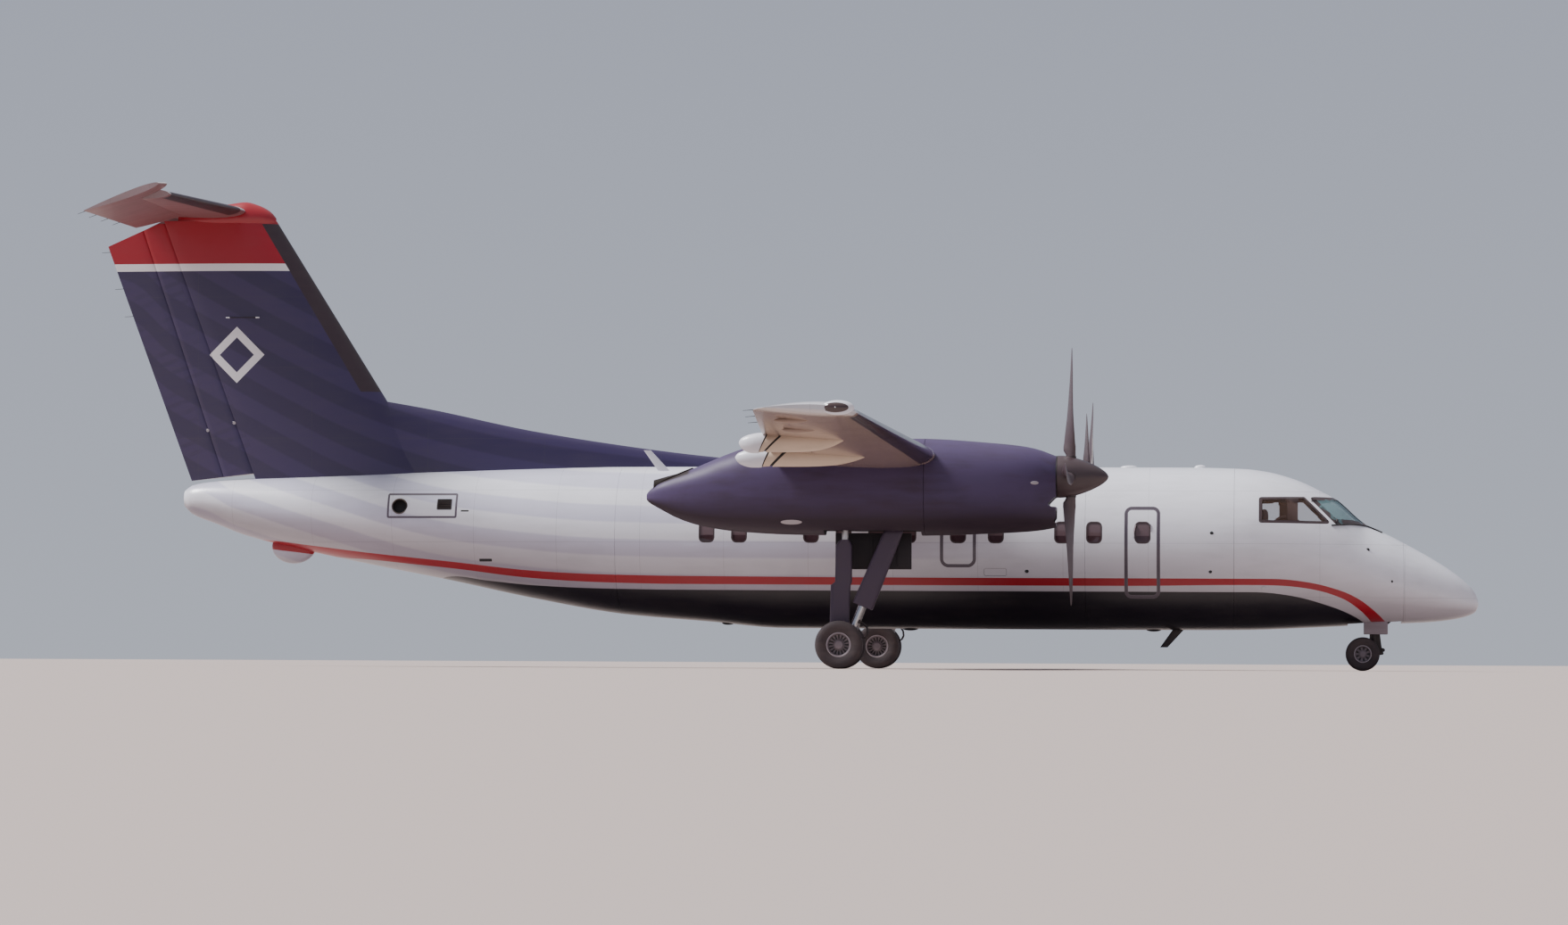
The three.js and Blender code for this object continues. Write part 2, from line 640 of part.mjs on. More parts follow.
// Cockpit windows in side view, each as its corners, and the half width of the centre post
const SIDE_WINDOW = [[7670, 2712], [7670, 2345], [8795, 2335], [8385, 2732]];
const WINDSHIELD = [[8455, 2738], [8868, 2338], [9600, 2338], [9600, 2738]];
const CENTRE_POST = 55;
const PANE = { outer: 6, inner: 28 };

const windowPrism = (corners, y0, y1, grow) => prismY(outline(grown(corners, grow)), y0 - grow, y1 + grow);

const windowsOf = (side) => {
  const edge = (near, far) => (side > 0 ? [near, far] : [-far, -near]);
  return [
    { name: 'side_window', corners: SIDE_WINDOW, ends: edge(500, 1500) },
    { name: 'windshield', corners: WINDSHIELD, ends: edge(CENTRE_POST, 1500) },
  ];
};

const NOSE_BAY = { x0: 9050, x1: 9900, half: 260, z0: 400, z1: 1150 };
const NOSE_DOOR = { x0: 9310, x1: 9740, out: 14, half: 12, z0: 590, z1: 830 };
const CABIN_FRONT_X = 9350;

// Everything inside the cockpit's skin and above its floor, less a margin
function cockpitRoom(margin) {
  return fuselage(7100, CABIN_FRONT_X - margin, -SKIN - margin)
    .intersect(box(7000, CABIN_FRONT_X, -1500, 1500, FLOOR_Z + margin, 3400));
}

function cockpit() {
  const bay = box(NOSE_BAY.x0, NOSE_BAY.x1, -NOSE_BAY.half, NOSE_BAY.half, NOSE_BAY.z0, NOSE_BAY.z1);
  const cuts = SIDES.flatMap(([, side]) => windowsOf(side))
    .map(({ corners, ends }) => windowPrism(corners, ...ends, 0));
  const doors = SIDES.map(([, side]) => {
    const y = side * (NOSE_BAY.half + NOSE_DOOR.out);
    return box(NOSE_DOOR.x0, NOSE_DOOR.x1, y - NOSE_DOOR.half, y + NOSE_DOOR.half, NOSE_DOOR.z0, NOSE_DOOR.z1);
  });
  const shell = carve(fuselage(COCKPIT_JOINT + GAP, RADOME_JOINT - GAP), [cockpitRoom(0), bay, ...cuts]);
  addPiece('fuselage_cockpit', unite([shell, ...doors]), WHITE);

  const skin = fuselage(7400, 9600, -PANE.outer).subtract(fuselage(7300, 9700, -PANE.inner));
  for (const [name, side] of SIDES) {
    for (const pane of windowsOf(side)) {
      addPiece(`${pane.name}_${name}`, skin.intersect(windowPrism(pane.corners, ...pane.ends, -GAP)), GLASS);
    }
  }
  const board = prismY(outline([[9345, FLOOR_Z], [9345, 2190], [9000, 2262], [8770, 2225], [8830, 1800],
    [8830, FLOOR_Z]]), -780, 780);
  addPiece('instrument_panel', board.intersect(cockpitRoom(GAP)), INSIDE);
  for (const [name, side] of SIDES) {
    const y = side * 480;
    const seat = unite([
      box(7800, 8220, y - 130, y + 130, FLOOR_Z + GAP, 1560),
      box(7760, 8280, y - 235, y + 235, 1540, 1680),
      prismY(outline([[7720, 1600], [7840, 1600], [7760, 2360], [7650, 2360]]), y - 225, y + 225),
      prismY(outline([[7670, 2340], [7760, 2340], [7750, 2560], [7670, 2560]]), y - 120, y + 120),
    ]);
    addPiece(`pilot_seat_${name}`, seat, INSIDE);
  }
}

// Fin: height, leading edge, rudder hinge, trailing rudder hinge, trailing edge
const FIN = [
  [2900, -5607, -8628, -9142, -9666],
  [7250, -8335, -10224, -10614, -11276.8],
];
const FIN_THICK = 0.11;
const FIN_TOP = 7250;
const RUDDER_FOOT_GAP = 45;
const DORSAL = [
  [-300, 3335, 2950, 65, 3050],
  [-1150, 3412, 2950, 75, 3050],
  [-2020, 3512, 2950, 85, 3050],
  [-4060, 3822, 2950, 110, 3050],
  [-5820, 4192, 2950, 140, 3050],
  [-6900, 4380, 2950, 150, 3050],
];

function finRing(height, from, to, grow = 0) {
  const [, lead, , , trail] = rowAt(FIN, height);
  const chord = lead - trail;
  const depth = FIN_THICK * chord;
  return grown(foil({ chord, depth, from, to }), grow).map(([u, v]) => [lead - u, v, height]);
}

function finShare(height, column) {
  const row = rowAt(FIN, height);
  return (row[1] - row[column]) / (row[1] - row[4]);
}

function finHinge(column) {
  const ends = FIN.map((row) => {
    const chord = row[1] - row[4];
    const radius = halfDepth(FIN_THICK * chord, chord, finShare(row[0], column));
    return { at: [row[column], 0, row[0]], radius };
  });
  return hingeLine(ends[0].at, ends[1].at, ends[0].radius, ends[1].radius, [0.94, 0, 0.345]);
}

function tailFin() {
  const heights = FIN.map((row) => row[0]);
  const front = finHinge(2);
  const rear = finHinge(3);
  const under = fuselage(TAIL_END, TAIL_JOINT, RUDDER_FOOT_GAP);
  const over = prismY(outline([
    [-9000, 7208], [-10270, 7208], [-11125, 6840], [-12000, 6463], [-12000, 8000], [-9000, 8000],
  ]), -900, 900);

  const blank = loft(heights.map((h) => finRing(h, 0, finShare(h, 2)))).add(body(DORSAL, -6900, -300 - GAP));
  addPiece('fin', carve(blank, [fuselageHull, front.cove]).add(front.lugs), NAVY);

  const fore = loft(heights.map((h) => finRing(h, finShare(h, 2), finShare(h, 3))));
  const foreRudder = carve(fore, [under, over, rear.cove, ...front.notches]).add(rear.lugs);
  addPiece('rudder_fore', foreRudder, NAVY);

  const aft = loft(heights.map((h) => finRing(h, finShare(h, 3), 1)));
  addPiece('rudder_trailing', carve(aft, [under, over, ...rear.notches]), NAVY);
  return front.cove;
}

// Tailplane: span station, leading edge X, chord, depth
const TAILPLANE = [
  [0, -8775, 1865, 214],
  [3600, -9380, 1320, 152],
  [3960, -9450, 1262, 107],
];
const TAIL_Z = 7400;
const ELEVATOR_X = -9850;
const ELEVATOR = { inner: 330, outer: 3600, tip: 3960, gap: 10 };
const CAP = [
  [-9950, 7420, 7150, 110, 7260],
  [-9500, 7490, 7150, 170, 7270],
  [-9140, 7530, 7150, 190, 7280],
  [-8850, 7565, 7150, 190, 7300],
  [-8630, 7510, 7150, 165, 7300],
  [-8430, 7400, 7150, 110, 7280],
  [-8345, 7300, 7150, 40, 7250],
];

function tailRing(span, side, from, to, grow = 0) {
  const [, lead, chord, depth] = rowAt(TAILPLANE, span);
  return grown(foil({ chord, depth, from, to }), grow).map(([u, v]) => [lead - u, side * span, TAIL_Z + v]);
}

function tailShare(span) {
  const [, lead, chord] = rowAt(TAILPLANE, span);
  return (lead - ELEVATOR_X) / chord;
}

function tailplane(rudderCove) {
  const blank = loft([[ELEVATOR.outer, -1], [0, 1], [ELEVATOR.outer, 1]].map(([span, side]) =>
    tailRing(span, side, 0, 1)));
  const behind = box(-11500, ELEVATOR_X, -5000, 5000, 7000, 7800);
  const radius = (span) => {
    const [, , chord, depth] = rowAt(TAILPLANE, span);
    return halfDepth(depth, chord, tailShare(span));
  };
  const lines = SIDES.map(([, side]) => hingeLine([ELEVATOR_X, side * ELEVATOR.inner, TAIL_Z],
    [ELEVATOR_X, side * ELEVATOR.outer, TAIL_Z], radius(ELEVATOR.inner), radius(ELEVATOR.outer), [1, 0, 0]));
  const fin = loft([FIN[0][0], FIN_TOP + GAP].map((height) => finRing(height, 0, finShare(height, 2), GAP)));
  const cap = carve(body(CAP, -9950, -8345), [fin, rudderCove]);
  const fixed = carve(blank, [behind, ...lines.map((line) => line.cove)]);
  addPiece('tailplane', unite([fixed, cap, ...lines.map((line) => line.lugs)]), WHITE);

  SIDES.forEach(([name, side], k) => {
    const main = loft([ELEVATOR.inner, ELEVATOR.outer + 60].map((span) =>
      tailRing(span, side, tailShare(span), 1)));
    const horn = loft([ELEVATOR.outer + ELEVATOR.gap, ELEVATOR.tip].map((span) => tailRing(span, side, 0, 1)));
    const level = carve(main, lines[k].notches).add(horn);
    const drooped = level.translate([-ELEVATOR_X, 0, -TAIL_Z])
      .rotate([0, -ELEVATOR_DROOP, 0])
      .translate([ELEVATOR_X, 0, TAIL_Z]);
    addPiece(`elevator_${name}`, drooped, WHITE);
  });
}

// Wheels: half tyre section as share of the radius and of the width
const TYRE_SECTION = [[0.52, 0.36], [0.66, 0.49], [0.88, 0.48], [0.98, 0.27], [1, 0]];
const MAIN_WHEEL = { radius: MAIN_TYRE_RADIUS, width: 265, spacing: 255, axle: 44 };
const NOSE_WHEEL = { radius: NOSE_TYRE_RADIUS, width: 165, spacing: 165, axle: 30 };
const WHEEL_SEGMENTS = 20;
const RIM_SHARE = 0.52;
const BORE_PLAY = 0.7;

function tyre({ radius, width }, at) {
  const half = TYRE_SECTION.map(([r, w]) => [r * radius, w * width]);
  const mirrored = half.slice(0, -1).reverse().map(([r, w]) => [r, -w]);
  return spun([...half, ...mirrored, half[0]], at, [0, 1, 0], WHEEL_SEGMENTS);
}

// Both rims and the axle that turns with them, as one spun body
function rims({ radius, width, spacing, axle }, at) {
  const seat = RIM_SHARE * radius - GAP;
  const hub = axle + 30;
  const edge = 0.36 * width;
  // radius, distance from the middle of the axle
  const half = [
    [axle, spacing - edge * 0.6], [seat * 0.84, spacing - edge * 0.45], [seat * 0.87, spacing - edge],
    [seat, spacing - edge], [seat, spacing + edge], [seat * 0.87, spacing + edge],
    [hub, spacing + edge * 0.3], [hub, spacing + edge * 0.8], [0, spacing + edge * 0.8],
  ];
  const mirrored = [...half].reverse().map(([r, d]) => [r, -d]);
  return spun([...mirrored, ...half], at, [0, 1, 0], WHEEL_SEGMENTS);
}

function wheelPair(prefix, suffix, spec, x, y) {
  addPiece(`${prefix}_wheels${suffix}`, rims(spec, [x, y, spec.radius]), STEEL);
  addPiece(`${prefix}_tyre${suffix}_port`, tyre(spec, [x, y + spec.spacing, spec.radius]), RUBBER);
  addPiece(`${prefix}_tyre${suffix}_starboard`, tyre(spec, [x, y - spec.spacing, spec.radius]), RUBBER);
}

// Main gear: the shock strut slants aft and down, at this height and this run of X for each unit of Z
const STRUT = { x: 1580, z: 960, top: 2130, slant: 0.41, radius: 80, piston: 62, half: 152, thick: 85 };
const PIVOT = { x0: 2240, x1: 2440, half: 150, height: 120 };
const FITTING = { top: 690, half: 70, boss: 90 };
const FORGING = [
  [1165, 330], [1310, 300], [1540, 560], [1540, 690], [1400, 705],
  [1330, 570], [1290, 570], [1290, FITTING.top], [1110, FITTING.top], [1110, 560],
];
const BRACE = {
  half: 62,
  link: 42,
  linkX: 1310,
  outline: [
    [1075, FITTING.top + GAP], [1375, FITTING.top + GAP], [1395, 1300], [1415, 1340], [1415, 1930],
    [1365, 1990], [1250, 1990], [1165, 1930], [1155, 1340], [1090, 1290],
  ],
};
const MAIN_DOOR = { in: 345, half: 12, x0: 1130, x1: 2310, z0: 1540, z1: 2400 };
const strutAt = (z, y) => [STRUT.x + STRUT.slant * (z - STRUT.z), y, z];

function mainGear(name, side) {
  const y = side * ENGINE_Y;
  const roof = GEAR_WELL.roof - GAP;
  const inner = side * (ENGINE_Y - MAIN_DOOR.in);
  const [topX] = strutAt(STRUT.top, y);
  const cover = prismY(outline([[topX - STRUT.half, STRUT.top], [topX + STRUT.half, STRUT.top],
    [STRUT.x + STRUT.half, STRUT.z], [STRUT.x - STRUT.half, STRUT.z]]), y - STRUT.thick, y + STRUT.thick);
  const barrel = rod(strutAt(roof - 40, y), strutAt(STRUT.z - 60, y), STRUT.radius)
    .subtract(box(1000, 2000, y - 200, y + 200, 500, STRUT.z));
  const pivot = box(PIVOT.x0, PIVOT.x1, y - PIVOT.half, y + PIVOT.half, roof - PIVOT.height, roof);
  addPiece(`main_strut_${name}`, unite([cover, barrel, pivot]), NAVY);

  const piston = rod(strutAt(STRUT.z + 60, y), strutAt(600, y), STRUT.piston)
    .subtract(box(1000, 2000, y - 200, y + 200, STRUT.z - GAP, 1500));
  const forging = prismY(outline(FORGING), y - FITTING.half, y + FITTING.half);
  const boss = rod([MAIN_AXLE_X, y - FITTING.half, MAIN_TYRE_RADIUS],
    [MAIN_AXLE_X, y + FITTING.half, MAIN_TYRE_RADIUS], FITTING.boss);
  const bore = rod([MAIN_AXLE_X, y - 200, MAIN_TYRE_RADIUS], [MAIN_AXLE_X, y + 200, MAIN_TYRE_RADIUS],
    MAIN_WHEEL.axle + BORE_PLAY, MAIN_WHEEL.axle + BORE_PLAY, WHEEL_SEGMENTS);
  addPiece(`main_piston_${name}`, unite([piston, forging, boss]).subtract(bore), STEEL);

  const brace = prismY(outline(BRACE.outline), y - BRACE.half, y + BRACE.half);
  const link = rod([BRACE.linkX, y, 1950], [BRACE.linkX, y, roof], BRACE.link);
  addPiece(`drag_strut_${name}`, brace.add(link), NAVY);

  const skin = body(NACELLE_AFT, NACELLE_END, FIREWALL_X, { power: NACELLE_POWER, centreY: y, grow: GAP });
  const door = box(MAIN_DOOR.x0, MAIN_DOOR.x1, inner - MAIN_DOOR.half, inner + MAIN_DOOR.half,
    MAIN_DOOR.z0, MAIN_DOOR.z1);
  addPiece(`main_door_${name}`, door.subtract(skin), DARK);

  wheelPair('main', `_${name}`, MAIN_WHEEL, MAIN_AXLE_X, y);
}

const NOSE_LEG = {
  z0: 600, radius: 72, collar: 92, collarZ: [610, 690], drag: 30, dragFrom: 720, dragTo: [9840, 1100],
};
const NOSE_FORK = {
  post: 52,
  postZ: 380,
  half: 45,
  arm: [[9535, 450], [9400, 450], [9245, 345], [9240, 225], [9330, 200], [9640, 290], [9660, 350], [9535, 380]],
};

function noseGear() {
  const steer = (z) => [NOSE_STEER_X, 0, z];
  const leg = rod(steer(NOSE_BAY.z1 - GAP), steer(NOSE_LEG.z0), NOSE_LEG.radius);
  const collar = rod(steer(NOSE_LEG.collarZ[1]), steer(NOSE_LEG.collarZ[0]), NOSE_LEG.collar);
  const [dragX, dragZ] = NOSE_LEG.dragTo;
  const drag = rod(steer(NOSE_LEG.dragFrom), [dragX, 0, dragZ], NOSE_LEG.drag, NOSE_LEG.drag, 12);
  addPiece('nose_leg', unite([leg, collar, drag]), STEEL);

  const post = rod(steer(NOSE_LEG.z0 - PLAY), steer(NOSE_FORK.postZ), NOSE_FORK.post);
  const arm = prismY(outline(NOSE_FORK.arm), -NOSE_FORK.half, NOSE_FORK.half);
  const bore = rod([NOSE_AXLE_X, -200, NOSE_TYRE_RADIUS], [NOSE_AXLE_X, 200, NOSE_TYRE_RADIUS],
    NOSE_WHEEL.axle + BORE_PLAY, NOSE_WHEEL.axle + BORE_PLAY, WHEEL_SEGMENTS);
  addPiece('nose_fork', post.add(arm).subtract(bore), STEEL);

  wheelPair('nose', '', NOSE_WHEEL, NOSE_AXLE_X, 0);
}

addPiece('radome', fuselage(RADOME_JOINT + GAP, NOSE_X), WHITE);
cockpit();
forwardFuselage();
centreFuselage();
rearFuselage();
airstairDoor();
FIXED_DOORS.forEach((door) => addPiece(door.name, fixedDoor(door), WHITE));
wingCentre();
const PROP_PHASE = { left: 51.5, right: 0 };
for (const [name, side] of SIDES) {
  wingSide(name, side);
  nacelle(name, side);
  propeller(name, side, PROP_PHASE[name]);
  mainGear(name, side);
}
noseGear();
const rudderCove = tailFin();
tailplane(rudderCove);

export default model;
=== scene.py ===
from math import asin, copysign, cos, dist, hypot, pi, radians, sin, sqrt, tan

import bmesh
import bpy
from mathutils import Matrix, Vector


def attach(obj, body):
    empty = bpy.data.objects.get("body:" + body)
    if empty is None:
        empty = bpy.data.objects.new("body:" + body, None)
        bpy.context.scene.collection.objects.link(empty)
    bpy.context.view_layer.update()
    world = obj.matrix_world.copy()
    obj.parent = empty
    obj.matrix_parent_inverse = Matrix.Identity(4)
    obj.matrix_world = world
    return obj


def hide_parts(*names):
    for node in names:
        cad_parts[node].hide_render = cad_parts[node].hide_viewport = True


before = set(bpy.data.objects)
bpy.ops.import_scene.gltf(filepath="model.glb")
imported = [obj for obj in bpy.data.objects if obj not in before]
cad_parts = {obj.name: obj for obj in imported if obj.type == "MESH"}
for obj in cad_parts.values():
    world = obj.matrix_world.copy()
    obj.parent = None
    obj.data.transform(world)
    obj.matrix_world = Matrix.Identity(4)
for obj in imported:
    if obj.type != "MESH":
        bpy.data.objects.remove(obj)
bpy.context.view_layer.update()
sides = {"left": 1, "right": -1}


# camera, at the place that the picture was taken from
cameraView = {
    "place": (8.12, -88.0, 0.12), "yaw": 0.0921, "pitch": 0.03622, "roll": 0.00466,
    "focalPixels": 6134.67, "imageWidth": 1757, "sensor": 36.0,
}


def placeCamera(view):
    data = bpy.data.cameras.new("viewCamera")
    data.sensor_width = view["sensor"]
    data.lens = view["sensor"] * view["focalPixels"] / view["imageWidth"]
    data.clip_end = 1000
    camera = bpy.data.objects.new("viewCamera", data)
    turn = (Matrix.Rotation(view["yaw"], 4, "Z") @ Matrix.Rotation(pi / 2 + view["pitch"], 4, "X")
            @ Matrix.Rotation(view["roll"], 4, "Z"))
    camera.matrix_world = Matrix.Translation(view["place"]) @ turn
    bpy.context.collection.objects.link(camera)
    bpy.context.scene.camera = camera


# node helpers
def feed(tree, node, inputs):
    for key, value in inputs.items():
        if isinstance(value, bpy.types.NodeSocket):
            tree.links.new(value, node.inputs[key])
        else:
            node.inputs[key].default_value = value


def addNode(tree, kind, inputs=None, **settings):
    made = tree.nodes.new("ShaderNode" + kind)
    for key, value in settings.items():
        setattr(made, key, value)
    feed(tree, made, inputs or {})
    return made


def calc(tree, operation, first, second=0.0, clamp=False):
    return addNode(tree, "Math", {0: first, 1: second}, operation=operation, use_clamp=clamp).outputs[0]


def times(tree, product, *factors):
    for factor in factors:
        product = calc(tree, "MULTIPLY", product, factor)
    return product


def within(tree, value, low, high):
    return times(tree, calc(tree, "GREATER_THAN", value, low), calc(tree, "LESS_THAN", value, high))


def remap(tree, value, low, high, toLow=0.0, toHigh=1.0):
    return addNode(tree, "MapRange", {"Value": value, "From Min": low, "From Max": high, "To Min": toLow,
                                      "To Max": toHigh}).outputs[0]


def mixColour(tree, share, under, over):
    return addNode(tree, "Mix", {0: share, 6: under, 7: over}, data_type="RGBA").outputs[2]


def noise(tree, place, scale, detail):
    return addNode(tree, "TexNoise", {"Vector": place, "Scale": scale, "Detail": detail}).outputs[0]


def attribute(tree, name):
    return addNode(tree, "Attribute", attribute_name=name).outputs["Fac"]


def objectPlace(tree):
    return addNode(tree, "TexCoord").outputs["Object"]


def objectXyz(tree):
    return addNode(tree, "SeparateXYZ", {0: objectPlace(tree)}).outputs


def facingUp(tree):
    return addNode(tree, "SeparateXYZ", {0: addNode(tree, "TexCoord").outputs["Normal"]}).outputs[2]


def newGroup(name, inputs, outputs):
    tree = bpy.data.node_groups.new(name, "ShaderNodeTree")
    for socketName, kind, value in inputs:
        socket = tree.interface.new_socket(socketName, in_out="INPUT", socket_type="NodeSocket" + kind)
        socket.default_value = value
    for socketName, kind in outputs:
        tree.interface.new_socket(socketName, in_out="OUTPUT", socket_type="NodeSocket" + kind)
    return tree, tree.nodes.new("NodeGroupInput").outputs, tree.nodes.new("NodeGroupOutput").inputs


# paint that has been out in the weather: cloudy tone, streaks along the airflow, fine orange peel
def buildWeathering():
    tree, given, out = newGroup("weathering", [
        ("Color", "Color", (0.5, 0.5, 0.5, 1)), ("Dirt Color", "Color", (0.1, 0.09, 0.08, 1)),
        ("Dirt", "Float", 0.15), ("Roughness", "Float", 0.4), ("Peel", "Float", 0.05),
    ], [("Color", "Color"), ("Roughness", "Float"), ("Normal", "Vector")])
    place = objectPlace(tree)
    streakPlace = addNode(tree, "Mapping", {"Vector": place, "Scale": (0.5, 3.0, 3.0)}).outputs[0]
    streaks = noise(tree, streakPlace, 3.0, 8.0)
    worn = remap(tree, times(tree, noise(tree, place, 1.3, 6.0), streaks), 0.2, 0.42)
    dirtShare = calc(tree, "MULTIPLY", worn, given["Dirt"], clamp=True)
    tree.links.new(mixColour(tree, dirtShare, given["Color"], given["Dirt Color"]), out["Color"])
    smooth = calc(tree, "SUBTRACT", given["Roughness"], 0.09)
    tree.links.new(calc(tree, "ADD", smooth, times(tree, streaks, 0.18)), out["Roughness"])
    peel = noise(tree, place, 55.0, 2.0)
    bump = addNode(tree, "Bump", {"Strength": given["Peel"], "Distance": 0.01, "Height": peel})
    tree.links.new(bump.outputs[0], out["Normal"])
    return tree


# sheet joints: rings across the airflow, and lines along it, as a mask
def buildSheetJoints():
    tree, given, out = newGroup("sheetJoints", [
        ("Pitch X", "Float", 1.0), ("Pitch Z", "Float", 0.6), ("Width", "Float", 0.006),
    ], [("Mask", "Float")])
    xyz = objectXyz(tree)
    masks = []
    for along, pitch in ((xyz[0], given["Pitch X"]), (xyz[2], given["Pitch Z"])):
        turns = calc(tree, "FRACT", calc(tree, "DIVIDE", calc(tree, "ADD", along, 40.0), pitch))
        masks.append(calc(tree, "LESS_THAN", times(tree, turns, pitch), given["Width"]))
    tree.links.new(calc(tree, "MAXIMUM", *masks), out["Mask"])
    return tree


# a painted line that follows a rounded rectangle, seen from the side, as a mask
def buildPaintedOutline():
    tree, given, out = newGroup("paintedOutline", [
        ("Center X", "Float", 0.0), ("Center Z", "Float", 0.0), ("Half X", "Float", 0.5), ("Half Z", "Float", 0.5),
        ("Corner", "Float", 0.1), ("Half Width", "Float", 0.03), ("Side", "Float", -1.0),
    ], [("Mask", "Float")])
    xyz = objectXyz(tree)
    past = []
    for axis, letter in ((0, "X"), (2, "Z")):
        off = calc(tree, "ABSOLUTE", calc(tree, "SUBTRACT", xyz[axis], given["Center " + letter]))
        straight = calc(tree, "SUBTRACT", given["Half " + letter], given["Corner"])
        past.append(calc(tree, "SUBTRACT", off, straight))
    outside = [calc(tree, "MAXIMUM", value, 0.0) for value in past]
    curved = calc(tree, "SQRT", calc(tree, "ADD", *[times(tree, value, value) for value in outside]))
    flat = calc(tree, "MINIMUM", calc(tree, "MAXIMUM", *past), 0.0)
    distance = calc(tree, "ABSOLUTE", calc(tree, "SUBTRACT", calc(tree, "ADD", curved, flat), given["Corner"]))
    inBand = calc(tree, "LESS_THAN", distance, given["Half Width"])
    onSide = calc(tree, "GREATER_THAN", times(tree, xyz[1], given["Side"]), 0.1)
    tree.links.new(times(tree, inBand, onSide), out["Mask"])
    return tree


weathering = buildWeathering()
sheetJoints = buildSheetJoints()
paintedOutline = buildPaintedOutline()
print("shader groups ready")


def newMaterial(name):
    material = bpy.data.materials.new(name)
    material.use_nodes = True
    tree = material.node_tree
    tree.nodes.clear()
    shader = addNode(tree, "BsdfPrincipled")
    addNode(tree, "OutputMaterial", {"Surface": shader.outputs[0]})
    return material, tree, shader


def weather(tree, shader, colour, dirt, roughness, peel=0.05, metallic=0.0, coat=0.0,
            dirtColour=(0.1, 0.085, 0.075, 1)):
    group = addNode(tree, "Group", {"Color": colour, "Dirt Color": dirtColour, "Dirt": dirt,
                                    "Roughness": roughness, "Peel": peel}, node_tree=weathering)
    feed(tree, shader, {"Base Color": group.outputs["Color"], "Roughness": group.outputs["Roughness"],
                        "Normal": group.outputs["Normal"], "Metallic": metallic, "Coat Weight": coat,
                        "Coat Roughness": 0.12})
    return group


# a plain paint, rubber, cloth or metal: colour, dirt and roughness, and what else differs from the usual
def paint(name, colour, dirt, roughness, **more):
    material, tree, shader = newMaterial(name)
    weather(tree, shader, (*colour[:3], 1), dirt, roughness, **more)
    return material


def withJoints(tree, colour, pitchX, pitchZ, width, share):
    joints = addNode(tree, "Group", {"Pitch X": pitchX, "Pitch Z": pitchZ, "Width": width},
                     node_tree=sheetJoints)
    return mixColour(tree, times(tree, joints.outputs[0], share), colour, (0.05, 0.05, 0.06, 1))


# the livery's colours
livery = {
    "white": (0.7, 0.695, 0.755, 1), "shade": (0.55, 0.54, 0.65, 1), "navy": (0.04, 0.026, 0.085, 1),
    "belly": (0.006, 0.004, 0.01, 1), "red": (0.31, 0.002, 0.013, 1), "boot": (0.036, 0.02, 0.025, 1),
    "finBand": (0.74, 0.72, 0.75, 1), "navyShade": (0.029, 0.019, 0.063, 1), "mark": (0.095, 0.075, 0.098, 1),
    # the first colour on the next line is painted shade for the fuselage's downward faces
    "undersideShade": (0.12, 0.075, 0.095, 1), "edge": 260.0,  # an edge fades over one part in 260 of a metre
    # station X and height Z along each edge of the stripe and of the dark belly
    "stripeTop": [(-9.5, 2.1), (-8.9, 2.075), (-8.33, 2.034), (-7.6, 1.945), (-6.75, 1.84), (-5.31, 1.69),
                  (-3.87, 1.54), (-1.86, 1.47), (5.39, 1.45), (7.78, 1.45), (8.34, 1.41), (8.9, 1.28),
                  (9.18, 1.16), (9.46, 0.96), (9.67, 0.76), (9.8, 0.62)],
    "stripeBottom": [(-9.5, 2.0), (-8.06, 1.86), (-7.2, 1.76), (-6.75, 1.73), (-6.0, 1.655), (-5.31, 1.585),
                     (-3.87, 1.42), (-1.86, 1.34), (5.39, 1.33), (7.5, 1.35), (8.34, 1.31), (8.9, 1.17),
                     (9.18, 1.01), (9.46, 0.74), (9.56, 0.62)],
    "bellyTop": [(-6.4, 1.1), (-5.7, 1.38), (-5.32, 1.46), (-4.74, 1.39), (-3.88, 1.31), (-1.87, 1.25),
                 (5.38, 1.24), (7.5, 1.24), (8.06, 1.2), (8.62, 1.07), (9.18, 0.85), (9.32, 0.75), (9.45, 0.6)],
    "curveLength": 24.0, "curveHeight": 8.0,
    # lines that the soft bands of painted reflection follow, on the fuselage and on the fin, and the pitch between
    # bands
    "hullReflection": {"line": [(-9.8, 3.4), (-8.85, 3.07), (-7.27, 2.57), (-5.62, 2.1), (-4.2, 1.9), (-2.75, 1.79),
                          (0.55, 1.75), (5.0, 1.75)], "pitch": 0.54, "fade": (4.6, 0.4)},
    "finReflection": {"line": [(-11.2, 6.34), (-10.0, 5.68), (-9.0, 5.13), (-8.0, 4.6), (-7.0, 4.12), (-6.0, 3.76),
                         (-5.0, 3.5), (-4.0, 3.31), (-2.0, 3.05), (0.0, 2.85)], "pitch": 0.62, "fade": (3.0, 2.0)},
}


def liveryEdge(tree, along, points):
    scaled = calc(tree, "ADD", calc(tree, "DIVIDE", along, livery["curveLength"]), 0.5)
    node = addNode(tree, "FloatCurve", {"Value": scaled})
    curve = node.mapping.curves[0]
    placed = [(x / livery["curveLength"] + 0.5, z / livery["curveHeight"]) for x, z in points]
    curve.points[0].location = (0.0, placed[0][1])
    curve.points[1].location = (1.0, placed[-1][1])
    for x, z in placed:
        curve.points.new(x, z)
    for point in curve.points:
        point.handle_type = "AUTO_CLAMPED"
    node.mapping.update()
    return times(tree, node.outputs[0], livery["curveHeight"])


def below(tree, height, edge):
    steep = times(tree, calc(tree, "SUBTRACT", edge, height), livery["edge"])
    return calc(tree, "ADD", steep, 0.5, clamp=True)


def belowLine(tree, xyz, points):
    return below(tree, xyz[2], liveryEdge(tree, xyz[0], points))
